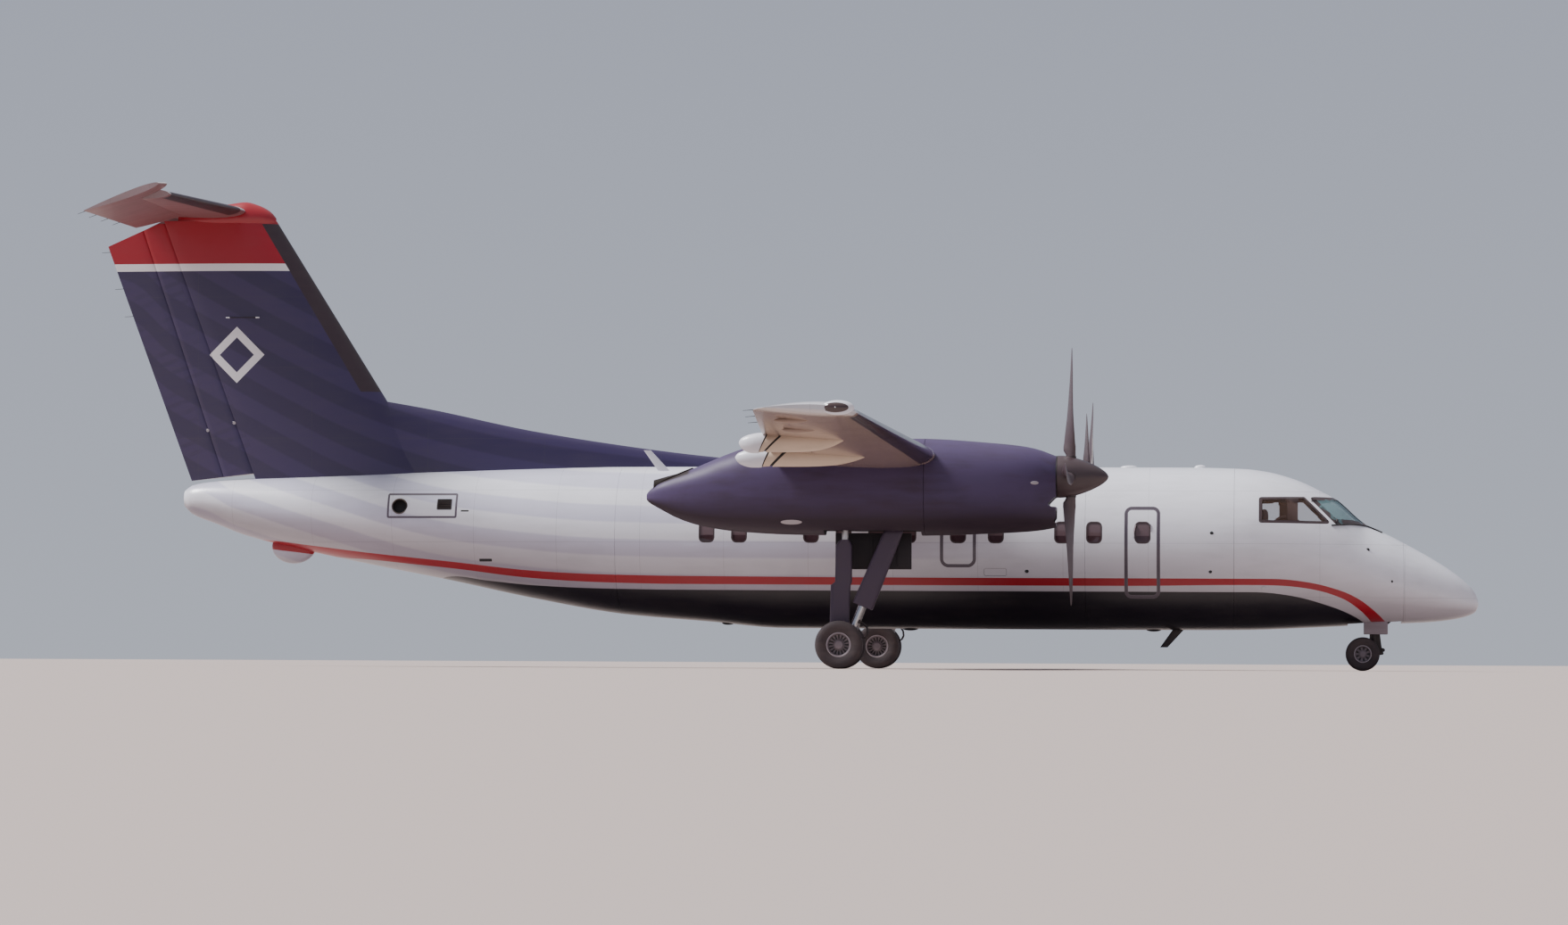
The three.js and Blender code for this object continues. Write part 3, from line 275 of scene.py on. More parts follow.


# painted reflection: soft bands, lighter and darker in turn, that follow a line and fade out towards the front
def reflectionBands(tree, xyz, under, over, settings):
    level = calc(tree, "SUBTRACT", xyz[2], liveryEdge(tree, xyz[0], settings["line"]))
    half = settings["pitch"] / 2
    wave = calc(tree, "PINGPONG", calc(tree, "SUBTRACT", level, half / 2), half)
    band = remap(tree, calc(tree, "DIVIDE", wave, half), 0.56, 0.44)
    return mixColour(tree, times(tree, band, remap(tree, xyz[0], *settings["fade"])), under, over)


# outlines painted round the exits and the service panel: side, lowest and highest X and Z, corner, half width
hullOutlines = [
    (-1, 5.55, 6.06, 1.16, 2.56, 0.09, 0.028), (-1, 2.63, 3.15, 1.64, 2.62, 0.11, 0.026),
    (1, 2.63, 3.15, 1.64, 2.62, 0.11, 0.026), (-1, -6.31, -5.19, 2.4, 2.77, 0.015, 0.017),
]


def hullFinish():
    material, tree, shader = newMaterial("hullPaint")
    xyz = objectXyz(tree)
    white = reflectionBands(tree, xyz, livery["white"], livery["shade"], livery["hullReflection"])
    white = withJoints(tree, white, 1.35, 0.84, 0.006, 0.28)
    # painted shade: the white turns half way to a dim brown on faces that look down, the more the further down they
    # face
    shadedWhite = mixColour(tree, 0.5, white, livery["undersideShade"])
    white = mixColour(tree, remap(tree, facingUp(tree), 0.0, -0.6), white, shadedWhite)
    painted = mixColour(tree, belowLine(tree, xyz, livery["bellyTop"]), white, livery["belly"])
    stripe = calc(tree, "SUBTRACT", belowLine(tree, xyz, livery["stripeTop"]),
                  belowLine(tree, xyz, livery["stripeBottom"]), clamp=True)
    painted = mixColour(tree, stripe, painted, livery["red"])
    for side, x0, x1, z0, z1, corner, halfWidth in hullOutlines:
        line = addNode(tree, "Group", {
            "Center X": (x0 + x1) / 2, "Center Z": (z0 + z1) / 2, "Half X": (x1 - x0) / 2, "Half Z": (z1 - z0) / 2,
            "Corner": corner, "Half Width": halfWidth, "Side": side}, node_tree=paintedOutline)
        painted = mixColour(tree, line.outputs[0], painted, livery["mark"])
    weather(tree, shader, painted, 0.1, 0.34, peel=0.03, coat=0.15)
    return material


# the fin's own design: red cap, pale band, rubber boot, and a plain ring of four sides
finDesign = {
    "redFrom": 6.55, "bandFrom": 6.43, "ringX": -8.95, "ringZ": 5.06, "ringHalf": 0.46, "ringHole": 0.62,
    "bootShare": 0.087, "bootHeight": (4.46, 7.2), "ribPitch": 0.18, "ribSlant": 0.35, "ribsFrom": 0.69,
    "ribShadeEdge": (0.022, 0.05), "ribShadeTone": 0.62,
}


def finFinish():
    material, tree, shader = newMaterial("finPaint")
    xyz = objectXyz(tree)
    navy = reflectionBands(tree, xyz, livery["navy"], livery["navyShade"], livery["finReflection"])
    navy = withJoints(tree, navy, 1.9, 1.15, 0.008, 0.3)
    pale = below(tree, finDesign["bandFrom"], xyz[2])
    painted = mixColour(tree, pale, navy, livery["finBand"])
    painted = mixColour(tree, below(tree, finDesign["redFrom"], xyz[2]), painted, livery["red"])
    reach = calc(tree, "ADD", *[calc(tree, "ABSOLUTE", calc(tree, "SUBTRACT", xyz[axis], finDesign[key]))
                                for axis, key in ((0, "ringX"), (2, "ringZ"))])
    ring = calc(tree, "SUBTRACT", below(tree, reach, finDesign["ringHalf"]),
                below(tree, reach, finDesign["ringHalf"] * finDesign["ringHole"]), clamp=True)
    painted = mixColour(tree, ring, painted, livery["finBand"])
    share = attribute(tree, "chordShare")
    onBoot = times(tree, below(tree, share, finDesign["bootShare"]), within(tree, xyz[2], *finDesign["bootHeight"]))
    painted = mixColour(tree, onBoot, painted, livery["boot"])
    # painted shade in patchy dashes along the rudder's ribs, and the ribs' own swell
    slanted = calc(tree, "SUBTRACT", xyz[2], times(tree, xyz[0], finDesign["ribSlant"]))
    swell = calc(tree, "PINGPONG", slanted, finDesign["ribPitch"] / 2)
    onRudder = calc(tree, "GREATER_THAN", share, finDesign["ribsFrom"])
    patchy = remap(tree, noise(tree, objectPlace(tree), 2.4, 2.0), 0.42, 0.58)
    mark = times(tree, remap(tree, swell, *finDesign["ribShadeEdge"], finDesign["ribShadeTone"], 0.0), patchy, onRudder,
                 calc(tree, "SUBTRACT", 1.0, pale))
    painted = mixColour(tree, mark, painted, livery["navyShade"])
    group = weather(tree, shader, painted, 0.06, 0.32, peel=0.03, coat=0.25)
    ribs = addNode(tree, "Bump", {"Strength": 0.35, "Distance": 0.02, "Normal": group.outputs["Normal"],
                                  "Height": times(tree, swell, onRudder)})
    tree.links.new(ribs.outputs[0], shader.inputs["Normal"])
    return material


# wing, fin and tail skins with a rubber boot along the leading edge, by the share of the chord, and painted shade
# on their undersides
def bootedFinish(name, settings):
    material, tree, shader = newMaterial(name)
    span, facing = attribute(tree, "spanShare"), facingUp(tree)
    # painted shade: faces that look down keep the darker, warmer underside colour; faces that look up, and the tip
    # cap, take the paint's own colour
    onCap = times(tree, remap(tree, facing, -0.99, -0.94), calc(tree, "GREATER_THAN", span, settings["capFrom"]))
    unshadedFacing = calc(tree, "MAXIMUM", remap(tree, facing, -0.1, 0.25), onCap)
    painted = mixColour(tree, unshadedFacing, settings["colour"], settings["top"])
    painted = withJoints(tree, painted, 0.62, 50.0, 0.006, 0.25)
    bays = times(tree, calc(tree, "ABSOLUTE", objectXyz(tree)[1]), settings["ribs"])
    ribs = calc(tree, "LESS_THAN", calc(tree, "FRACT", bays), 0.012)
    painted = mixColour(tree, times(tree, ribs, 0.35), painted, (0.05, 0.05, 0.05, 1))
    onBoot = times(tree, below(tree, attribute(tree, "chordShare"), settings["boot"]),
                   within(tree, span, *settings["bootSpan"]))
    painted = mixColour(tree, onBoot, painted, livery["boot"])
    weather(tree, shader, painted, settings["dirt"], settings["roughness"], coat=settings["coat"])
    return material


# nacelle paint: heat, soot and painted shade round the exhaust's opening, and painted shade that darkens the
# underside
nacellePaint = {
    "colour": (0.072, 0.05, 0.112, 1), "soot": (0.018, 0.01, 0.01, 1), "low": (0.03, 0.018, 0.03, 1),
    "from": (-1.66, -1.6), "to": (-1.06, -1.12), "edge": (-1.128, 2.971, 0.318), "soft": 0.018,
}


def nacelleFinish():
    material, tree, shader = newMaterial("navyPaint")
    xyz = objectXyz(tree)
    x0, z0, slope = nacellePaint["edge"]
    edge = calc(tree, "ADD", times(tree, calc(tree, "SUBTRACT", xyz[0], x0), slope), z0)
    above = calc(tree, "DIVIDE", calc(tree, "SUBTRACT", xyz[2], edge), nacellePaint["soft"], clamp=True)
    # painted shade: the nacelle darkens the more its faces look down
    low = remap(tree, facingUp(tree), -0.05, -0.55)
    painted = mixColour(tree, low, nacellePaint["colour"], nacellePaint["low"])
    # soot and painted shade: a dark patch above a sloping line, between two stations, where the exhaust opens
    soot = times(tree, above, *[remap(tree, xyz[0], *nacellePaint[key]) for key in ("from", "to")])
    painted = mixColour(tree, soot, painted, nacellePaint["soot"])
    weather(tree, shader, painted, 0.5, 0.5, dirtColour=(0.046, 0.03, 0.042, 1))
    shader.inputs["Specular IOR Level"].default_value = 0.25
    return material


def paneFinish(name, colour, alpha, roughness):
    material, tree, shader = newMaterial(name)
    smear = remap(tree, noise(tree, objectPlace(tree), 9.0, 3.0), 0.3, 0.8, roughness, roughness + 0.08)
    feed(tree, shader, {"Roughness": smear, "Base Color": colour, "Alpha": alpha, "IOR": 1.5, "Coat Weight": 0.5})
    return material


# cabin panes, opaque: a blind drawn part of the way down, and below it the painted shade of the dim cabin
cabinGlass = {"shadeFrom": (2.115, 2.125), "shade": (0.115, 0.075, 0.082, 1),
              "dark": (0.03, 0.014, 0.018, 1), "dim": (0.07, 0.04, 0.045, 1)}


def cabinPaneFinish():
    material, tree, shader = newMaterial("cabinGlass")
    shade = remap(tree, objectXyz(tree)[2], *cabinGlass["shadeFrom"])
    mottle = noise(tree, objectPlace(tree), 6.0, 3.0)
    # painted shade of the cabin behind the pane, mottled
    dim = mixColour(tree, mottle, cabinGlass["dark"], cabinGlass["dim"])
    feed(tree, shader, {"Base Color": mixColour(tree, shade, dim, cabinGlass["shade"]), "Roughness": 0.08,
                        "Coat Weight": 0.4})
    return material


finishes = {
    "hull": hullFinish(),
    "fin": finFinish(),
    "navy": nacelleFinish(),
    # the first colour of the wing and of the tail is the painted shade of their undersides, warmed by light from
    # the ground; the second is the paint's own colour
    "tan": bootedFinish("wingPaint", {
        "colour": (0.33, 0.235, 0.19, 1), "top": (0.5, 0.49, 0.52, 1), "dirt": 0.1, "roughness": 0.2,
        "coat": 0.4, "boot": 0.085, "bootSpan": (4.75, 12.45), "ribs": 1.35, "capFrom": 12.62}),
    "tail": bootedFinish("tailPaint", {
        "colour": (0.215, 0.098, 0.103, 1), "top": (0.52, 0.5, 0.52, 1), "dirt": 0.18, "roughness": 0.45,
        "coat": 0.0, "boot": 0.11, "bootSpan": (0.45, 3.5), "ribs": 1.6, "capFrom": 50.0}),
    "white": paint("whitePaint", livery["white"], 0.14, 0.38, coat=0.2),
    "cap": paint("capPaint", livery["red"], 0.1, 0.34, coat=0.3),
    "seam": paint("doorSeam", (0.16, 0.16, 0.18), 0.3, 0.6),
    "canoe": paint("canoePaint", (0.6, 0.47, 0.36), 0.25, 0.45),
    "bracket": paint("bracketPaint", (0.28, 0.195, 0.155), 0.3, 0.5),
    "boot": paint("iceBoot", livery["boot"], 0.25, 0.55, peel=0.2, dirtColour=(0.06, 0.05, 0.045, 1)),
    "prop": paint("bladePaint", (0.07, 0.046, 0.054), 0.3, 0.45, dirtColour=(0.08, 0.062, 0.06, 1)),
    "spinner": paint("spinnerPaint", (0.05, 0.029, 0.035), 0.2, 0.4, coat=0.1,
                     dirtColour=(0.08, 0.062, 0.06, 1)),
    "tyre": paint("tyreRubber", (0.046, 0.034, 0.038), 0.5, 0.82, peel=0.35,
                  dirtColour=(0.105, 0.078, 0.074, 1)),
    "rim": paint("rimMetal", (0.2, 0.165, 0.185), 0.5, 0.5, metallic=0.2, dirtColour=(0.1, 0.08, 0.09, 1)),
    "flange": paint("flangeMetal", (0.38, 0.34, 0.37), 0.3, 0.42, metallic=0.2,
                    dirtColour=(0.2, 0.16, 0.17, 1)),
    "gearNavy": paint("gearPaint", (0.058, 0.038, 0.07), 0.3, 0.45, dirtColour=(0.06, 0.048, 0.06, 1)),
    "gearDark": paint("gearGreased", (0.03, 0.022, 0.024), 0.5, 0.5, metallic=0.2,
                      dirtColour=(0.07, 0.055, 0.05, 1)),
    "gearGrey": paint("gearMetal", (0.32, 0.32, 0.34), 0.4, 0.42, metallic=0.5),
    "oleo": paint("oleoChrome", (0.62, 0.62, 0.63), 0.25, 0.22, metallic=1.0),
    "metal": paint("bareMetal", (0.5, 0.5, 0.51), 0.3, 0.35, metallic=0.9),
    "doorGrey": paint("doorGreyPaint", (0.24, 0.2, 0.23), 0.4, 0.42, dirtColour=(0.14, 0.11, 0.11, 1)),
    "doorBlack": paint("doorPaint", (0.014, 0.01, 0.015), 0.35, 0.6, dirtColour=(0.035, 0.026, 0.03, 1)),
    "hot": paint("exhaustSteel", (0.14, 0.12, 0.11), 0.6, 0.5, metallic=0.8, dirtColour=(0.03, 0.02, 0.02, 1)),
    # the exhaust pipe's and lip's near black is soot with the painted shade of the pipe's inside
    "soot": paint("exhaustSoot", (0.013, 0.007, 0.006), 0.4, 0.92, dirtColour=(0.035, 0.018, 0.014, 1)),
    # near black: the own colour of wicks, wipers and seals, and painted shade on the walls of intakes, wells, bays,
    # grilles and gaps
    "dark": paint("darkAndRecessShade", (0.018, 0.018, 0.02), 0.2, 0.75),
    "frame": paint("windowFrame", (0.045, 0.026, 0.03), 0.2, 0.5),
    "inside": paint("cockpitTrim", (0.07, 0.048, 0.05), 0.25, 0.7),
    "cloth": paint("seatCloth", (0.07, 0.085, 0.13), 0.3, 0.9, peel=0.6),
    "lens": paneFinish("tipGlass", (0.05, 0.028, 0.028, 1), 1.0, 0.06),
    "pane": paneFinish("cockpitGlass", (0.26, 0.15, 0.11, 1), 0.09, 0.03),
    "screen": paneFinish("windshieldGlass", (0.16, 0.3, 0.32, 1), 0.42, 0.03),
    "cabinPane": cabinPaneFinish(),
}
print("finishes ready:", len(finishes))


# mesh helpers: a smooth curve through the rows of a table, with no overshoot
def fairCurve(table, warp=lambda place: place):
    rows = sorted(table)
    at = [warp(row[0]) for row in rows]
    steps = [b - a for a, b in zip(at, at[1:])]
    bends = []
    for column in range(1, len(rows[0])):
        rises = [(b[column] - a[column]) / step for a, b, step in zip(rows, rows[1:], steps)]
        inner = [2 * p * q / (p + q) if p * q > 0 else 0.0 for p, q in zip(rises, rises[1:])]
        bends.append([rises[0]] + inner + [rises[-1]])

    def rowAt(x):
        place = min(max(warp(x), at[0]), at[-1])
        k = max(i for i in range(len(steps)) if at[i] <= place)
        t = (place - at[k]) / steps[k]
        values = []
        for column, slopes in enumerate(bends, 1):
            a, b = rows[k][column], rows[k + 1][column]
            values.append(a * (2 * t ** 3 - 3 * t ** 2 + 1) + b * (3 * t ** 2 - 2 * t ** 3)
                          + steps[k] * (slopes[k] * (t ** 3 - 2 * t ** 2 + t) + slopes[k + 1] * (t ** 3 - t ** 2)))
        return values
    return rowAt


def between(first, last, count):
    return [first + (last - first) * k / count for k in range(count + 1)]


def faced(geom, kind=bmesh.types.BMFace):
    return [item for item in geom if isinstance(item, kind) and item.is_valid]


# a first ring is drawn as a circle, then extruded from station to station
def loft(rings, bm=None, closed=(True, True)):
    bm = bm or bmesh.new()
    row = bmesh.ops.create_circle(bm, segments=len(rings[0]), radius=1.0)["verts"]
    for k, ring in enumerate(rings):
        if k:
            fresh = set(faced(bmesh.ops.extrude_edge_only(bm, edges=edges)["geom"], bmesh.types.BMVert))
            row = [next(e.other_vert(v) for e in v.link_edges if e.other_vert(v) in fresh) for v in row]
        for vert, place in zip(row, ring):
            vert.co = place
        edges = [bm.edges.get(pair) for pair in zip(row, row[1:] + row[:1])]
        if closed[0] and k == 0 or closed[1] and k == len(rings) - 1:
            bmesh.ops.contextual_create(bm, geom=edges)
    return bm


# points round an outline of unit size: a circle for a power of 2, squarer above it
def unitOval(power, sides):
    turns = [2 * pi * (k + 0.5) / sides for k in range(sides)]
    return [[copysign(abs(c) ** (2 / power), c) for c in (cos(a), sin(a))] for a in turns]


def ovalRing(x, row, centreY=0.0, power=2.0, sides=48, grow=0.0):
    top, bottom, half, widest = row
    return [(x, centreY + across * (half + grow),
             widest + up * ((top - widest if up > 0 else widest - bottom) + grow))
            for across, up in unitOval(power, sides)]


def ovalBody(rowAt, stations, closed=(True, True), **shape):
    return loft([ovalRing(x, rowAt(x), **shape) for x in stations], closed=closed)


def roundedCorners(u0, u1, v0, v1, radius, lower=None, steps=5):
    low = radius if lower is None else lower
    corners = []
    for u, v, r, turn in ((u1 - low, v0 + low, low, -90), (u1 - radius, v1 - radius, radius, 0),
                          (u0 + radius, v1 - radius, radius, 90), (u0 + low, v0 + low, low, 180)):
        for k in range(steps + 1):
            angle = radians(turn + 90 * k / steps)
            corners.append((u + r * cos(angle), v + r * sin(angle)))
    return corners


# cuts a convex outline, seen along one axis, into a surface and gives the faces inside it
def cutRegion(bm, corners, axis="y", side=1, middle=0.0):
    depth = "xyz".index(axis)
    flat = [k for k in range(3) if k != depth]
    lows = [min(c[k] for c in corners) for k in (0, 1)]
    highs = [max(c[k] for c in corners) for k in (0, 1)]
    centre = [sum(c[k] for c in corners) / len(corners) for k in (0, 1)]
    faces = []
    for face in bm.faces:
        spans = [[v.co[a] for v in face.verts] for a in flat]
        if all(max(s) > lows[k] and min(s) < highs[k] for k, s in enumerate(spans)):
            if side * (face.calc_center_median()[depth] - middle) > 0:
                faces.append(face)
    for a, b in zip(corners, corners[1:] + corners[:1]):
        if dist(a, b) < 1e-6:
            continue
        out = [b[1] - a[1], a[0] - b[0]]
        if out[0] * (centre[0] - a[0]) + out[1] * (centre[1] - a[1]) > 0:
            out = [-out[0], -out[1]]
        place, normal = Vector((0, 0, 0)), Vector((0, 0, 0))
        for k, axisIndex in enumerate(flat):
            place[axisIndex], normal[axisIndex] = a[k], out[k]
        normal.normalize()
        geom = set(faces)
        for face in faces:
            geom.update(face.edges)
            geom.update(face.verts)
        cut = bmesh.ops.bisect_plane(bm, geom=list(geom), dist=0.000005, plane_co=place, plane_no=normal)
        faces = [f for f in faced(cut["geom"]) if (f.calc_center_median() - place).dot(normal) < 0]
    return faces


# pushes a region in by a wall, along one direction or to one level
def sink(bm, faces, shift=None, level=None, axis="y", paint=None, wallPaint=None):
    made = bmesh.ops.extrude_face_region(bm, geom=faces)["geom"]
    bmesh.ops.delete(bm, geom=[f for f in faces if f.is_valid], context="FACES")
    moved = faced(made, bmesh.types.BMVert)
    fresh = faced(made)
    for vert in moved:
        if level is not None:
            vert.co["xyz".index(axis)] = level
        else:
            vert.co += Vector(shift)
    walls = {f for v in moved for f in v.link_faces} - set(fresh)
    for face in fresh:
        face.material_index = paint if paint is not None else face.material_index
    for face in walls:
        face.material_index = wallPaint if wallPaint is not None else face.material_index
    return fresh


# a painted rim inside the edge of a region
def rimmed(bm, faces, width, paint, depth=0.0, **more):
    for face in bmesh.ops.inset_region(bm, faces=faces, thickness=width, depth=depth, **more)["faces"]:
        face.material_index = paint


def keepOnly(bm, faces):
    wanted = set(faces)
    bmesh.ops.delete(bm, geom=[f for f in bm.faces if f not in wanted], context="FACES")
    return bm


# cuts the whole mesh along a plane, and if asked drops what lies beyond it and closes the cut
def splitAt(bm, place, normal, drop=False):
    bmesh.ops.bisect_plane(bm, geom=bm.faces[:] + bm.edges[:] + bm.verts[:], dist=0.00001, plane_co=place,
                           plane_no=normal, clear_outer=drop)
    if drop:
        bmesh.ops.holes_fill(bm, edges=[e for e in bm.edges if e.is_boundary], sides=0)


def slab(bm, low, high, bevel=0.0):
    made = bmesh.ops.create_cube(bm, size=1.0)["verts"]
    for vert in made:
        vert.co = [a + (b - a) * (c + 0.5) for a, b, c in zip(low, high, vert.co)]
    if bevel:
        edges = list({e for v in made for e in v.link_edges})
        bmesh.ops.bevel(bm, geom=edges, offset=bevel, offset_type="OFFSET", segments=2, profile=0.5,
                        affect="EDGES", material=-1)
    return bm


# a profile of radius and distance, spun about an axis
def spun(bm, profile, at, axis, steps=48):
    axis = Vector(axis).normalized()
    aside = axis.orthogonal().normalized()
    at = Vector(at)
    verts = [bm.verts.new(at + axis * d + aside * r) for r, d in profile]
    edges = [bm.edges.new(pair) for pair in zip(verts, verts[1:])]
    bmesh.ops.spin(bm, geom=verts + edges, cent=at, axis=axis, angle=2 * pi, steps=steps, use_merge=True)
    bmesh.ops.remove_doubles(bm, verts=bm.verts, dist=0.00005)
    return bm


def bar(bm, a, b, radius, endRadius=None, sides=20, bevel=0.004):
    a, b = Vector(a), Vector(b)
    end = radius if endRadius is None else endRadius
    length = (b - a).length
    return spun(bm, [(0, 0), (radius - bevel, 0), (radius, bevel), (end, length - bevel), (end - bevel, length),
                     (0, length)], a, b - a, sides)


# bars and boxes from tables, placed about a middle plane y; a way of -1 mirrors them in it
def bars(bm, rows, y=0.0, way=1):
    for (x0, y0, z0), (x1, y1, z1), *size in rows:
        bar(bm, (x0, y + way * y0, z0), (x1, y + way * y1, z1), *size)
    return bm


def slabs(bm, rows, y=0.0, way=1):
    for (x0, y0, z0), (x1, y1, z1), *bevel in rows:
        low, high = sorted((y + way * y0, y + way * y1))
        slab(bm, (x0, low, z0), (x1, high, z1), *bevel)
    return bm


def tube(bm, path, radius, sides, bevel):
    for a, b in zip(path, path[1:]):
        bar(bm, a, b, radius, sides=sides, bevel=bevel)


def wick(bm, foot, length, drop=0.0):
    bar(bm, foot, Vector(foot) - Vector((length, 0, drop)), 0.005, 0.003, 8, 0.001)


def blob(bm, centre, radii, segments, rows, order=(0, 1, 2)):
    for vert in bmesh.ops.create_uvsphere(bm, u_segments=segments, v_segments=rows, radius=1.0)["verts"]:
        vert.co = [c + r * vert.co[k] for c, r, k in zip(centre, radii, order)]


# the slot that each finish belongs to, where that isn't hull_white
slots = {
    "navy": "navy", "fin": "navy", "doorGrey": "navy", "tan": "surface_tan", "bracket": "surface_tan",
    "prop": "prop_dark", "spinner": "prop_dark", "dark": "prop_dark", "doorBlack": "prop_dark",
    "rim": "gear_metal", "flange": "gear_metal", "gearDark": "gear_metal", "gearGrey": "gear_metal",
    "metal": "gear_metal", "oleo": "oleo", "gearNavy": "gear_navy", "tyre": "rubber", "hot": "engine",
    "soot": "engine", "inside": "inside", "cloth": "inside",
}


def finishPiece(name, bm, finish, body="airframe", stands=(), slot=None, sharp=32, wall=0.0, facing=None):
    finish = [finish] if isinstance(finish, str) else finish
    bmesh.ops.remove_doubles(bm, verts=bm.verts, dist=0.00002)
    bmesh.ops.dissolve_degenerate(bm, edges=bm.edges, dist=0.00001)
    bmesh.ops.recalc_face_normals(bm, faces=bm.faces)
    if facing is not None:
        total = sum((f.normal * f.calc_area() for f in bm.faces), Vector())
        if total.dot(Vector(facing)) < 0:
            bmesh.ops.reverse_faces(bm, faces=bm.faces)
    for face in bm.faces:
        face.smooth = True
    for edge in bm.edges:
        edge.smooth = not edge.is_boundary and edge.calc_face_angle(0.0) < radians(sharp)
    mesh = bpy.data.meshes.new(name)
    bm.to_mesh(mesh)
    bm.free()
    piece = bpy.data.objects.new(name, mesh)
    bpy.context.collection.objects.link(piece)
    for key in finish:
        mesh.materials.append(finishes[key])
    if wall:
        shell = piece.modifiers.new("wall", "SOLIDIFY")
        shell.thickness = wall
        shell.offset = -1.0
    slot = slot or slots.get(finish[0], "hull_white")
    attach(piece, body)
    if stands:
        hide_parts(*stands)
    return piece


# fuselage: station X, top, bottom, half width, height of the widest point
hull = {
    "rows": [
        (11.125, 1.1, 1.06, 0.016, 1.08), (11.085, 1.225, 0.96, 0.13, 1.088),
        (10.89, 1.45, 0.865, 0.315, 1.12), (10.61, 1.66, 0.812, 0.47, 1.18),
        (10.33, 1.832, 0.783, 0.59, 1.25), (9.93, 2.05, 0.762, 0.735, 1.35),
        (9.76, 2.14, 0.752, 0.79, 1.4), (9.33, 2.345, 0.735, 0.915, 1.54),
        (8.86, 2.742, 0.708, 1.04, 1.69), (8.62, 2.872, 0.696, 1.095, 1.76),
        (8.34, 3.008, 0.682, 1.155, 1.83), (8.05, 3.11, 0.668, 1.21, 1.885),
        (7.77, 3.18, 0.656, 1.255, 1.92), (7.4, 3.225, 0.646, 1.3, 1.938),
        (6.5, 3.248, 0.64, 1.33, 1.945), (0.0, 3.25, 0.648, 1.33, 1.947),
        (-1.13, 3.25, 0.742, 1.322, 1.985), (-2.58, 3.246, 0.862, 1.295, 2.045),
        (-4.04, 3.212, 1.11, 1.22, 2.155), (-5.51, 3.165, 1.42, 1.08, 2.29),
        (-6.68, 3.125, 1.645, 0.925, 2.39), (-7.86, 3.082, 1.892, 0.715, 2.49),
        (-8.74, 3.044, 2.104, 0.53, 2.585), (-9.33, 3.0, 2.325, 0.37, 2.67),
        (-9.69, 2.935, 2.47, 0.25, 2.705), (-9.81, 2.85, 2.59, 0.13, 2.72),
    ],
    "noseX": 11.125, "sides": 64, "seam": 0.0015, "wall": 0.05,
    "radomeX": 9.93, "cockpitX": 7.25, "entryX": 4.9, "tailX": -2.6, "floorZ": 1.25,
}
hullRow = fairCurve(hull["rows"], lambda x: -sqrt(11.16 - x))


def hullY(x, z, side, lift=0.0):
    top, bottom, half, widest = hullRow(x)
    rise = top - widest if z > widest else widest - bottom
    return side * (half * sqrt(max(0.0, 1 - ((z - widest) / rise) ** 2)) + lift)


def hullLow(x, y):
    bottom, half, widest = hullRow(x)[1:]
    return widest - (widest - bottom) * sqrt(1 - (y / half) ** 2)


def hullTube(first, last, step, closed):
    count = max(2, round(abs(last - first) / step))
    return ovalBody(hullRow, between(first, last, count), closed=closed, sides=hull["sides"])


def noseStations(first, last, count):
    nearest, farthest = sqrt(hull["noseX"] - first), sqrt(hull["noseX"] - last)
    return [hull["noseX"] - s ** 2 for s in between(nearest, farthest, count)]


# cabin windows: a dark frame set in the skin, and a pane sunk a little behind it
window = {
    "half": 0.128, "low": 1.995, "high": 2.348, "radius": 0.085, "frame": 0.022, "depth": 0.012,
    "centre": [-1.12, -0.6, 0.55, 1.07, 1.59, 2.1, 2.89, 3.49, 4.54], "front": [5.045],
}


def cabinWindow(bm, x, side, framePaint, panePaint):
    shape = roundedCorners(x - window["half"], x + window["half"], window["low"], window["high"],
                           window["radius"], steps=4)
    faces = cutRegion(bm, shape, "y", side)
    rimmed(bm, faces, window["frame"], framePaint)
    sink(bm, faces, (0, -side * window["depth"], 0), paint=panePaint, wallPaint=framePaint)


# doors: a pocket in the skin and a panel in it, with a narrow gap all round
doors = {
    "airstair": {"side": 1, "corners": (5.42, 6.18, 1.09, 2.74), "radius": 0.12, "lower": 0.02, "gap": 0.006,
                 "thick": 0.06, "sill": 1.034, "recessY": 0.25, "hinge": (0.975, 1.076), "barrel": 0.018,
                 # heights of the steps, their slant in degrees, reach, half thickness and inset from the ends
                 "steps": (1.2, 1.52, 1.84, 2.16), "slant": 22, "reach": 0.22, "stepHalf": 0.012, "inset": 0.09},
    "exit_front_right": {"side": -1, "corners": (5.55, 6.06, 1.16, 2.56), "radius": 0.09, "gap": 0.005,
                         "thick": 0.045},
    "baggage_door": {"side": 1, "corners": (-4.95, -3.68, 1.5, 2.85), "radius": 0.1, "gap": 0.006,
                     "thick": 0.045},
}


def doorShape(door, grow=0.0):
    u0, u1, v0, v1 = door["corners"]
    lower = door.get("lower", door["radius"])
    return roundedCorners(u0 - grow, u1 + grow, v0 - grow, v1 + grow, door["radius"] + grow, lower + grow)


def pocket(bm, door, depth):
    faces = cutRegion(bm, doorShape(door, door["gap"]), "y", door["side"])
    sink(bm, faces, (0, -door["side"] * depth, 0), paint=1, wallPaint=1)


def doorSkin(door):
    u0, u1 = door["corners"][:2]
    bm = hullTube(u1 + 0.1, u0 - 0.1, 0.12, (False, False))
    return keepOnly(bm, cutRegion(bm, doorShape(door), "y", door["side"]))


# a shallow groove pressed round a hatch
def hatchLine(bm, corners, side, radius=0.03, width=0.006):
    faces = cutRegion(bm, roundedCorners(*corners, radius, steps=3), "y", side)
    rimmed(bm, faces, width, 1, depth=-0.004)
    return faces


def buildRadome():
    stations = noseStations(hull["noseX"], hull["radomeX"] + hull["seam"], 26)
    bm = ovalBody(hullRow, stations, sides=hull["sides"])
    finishPiece("radomeSkin", bm, "hull", stands=["radome"])


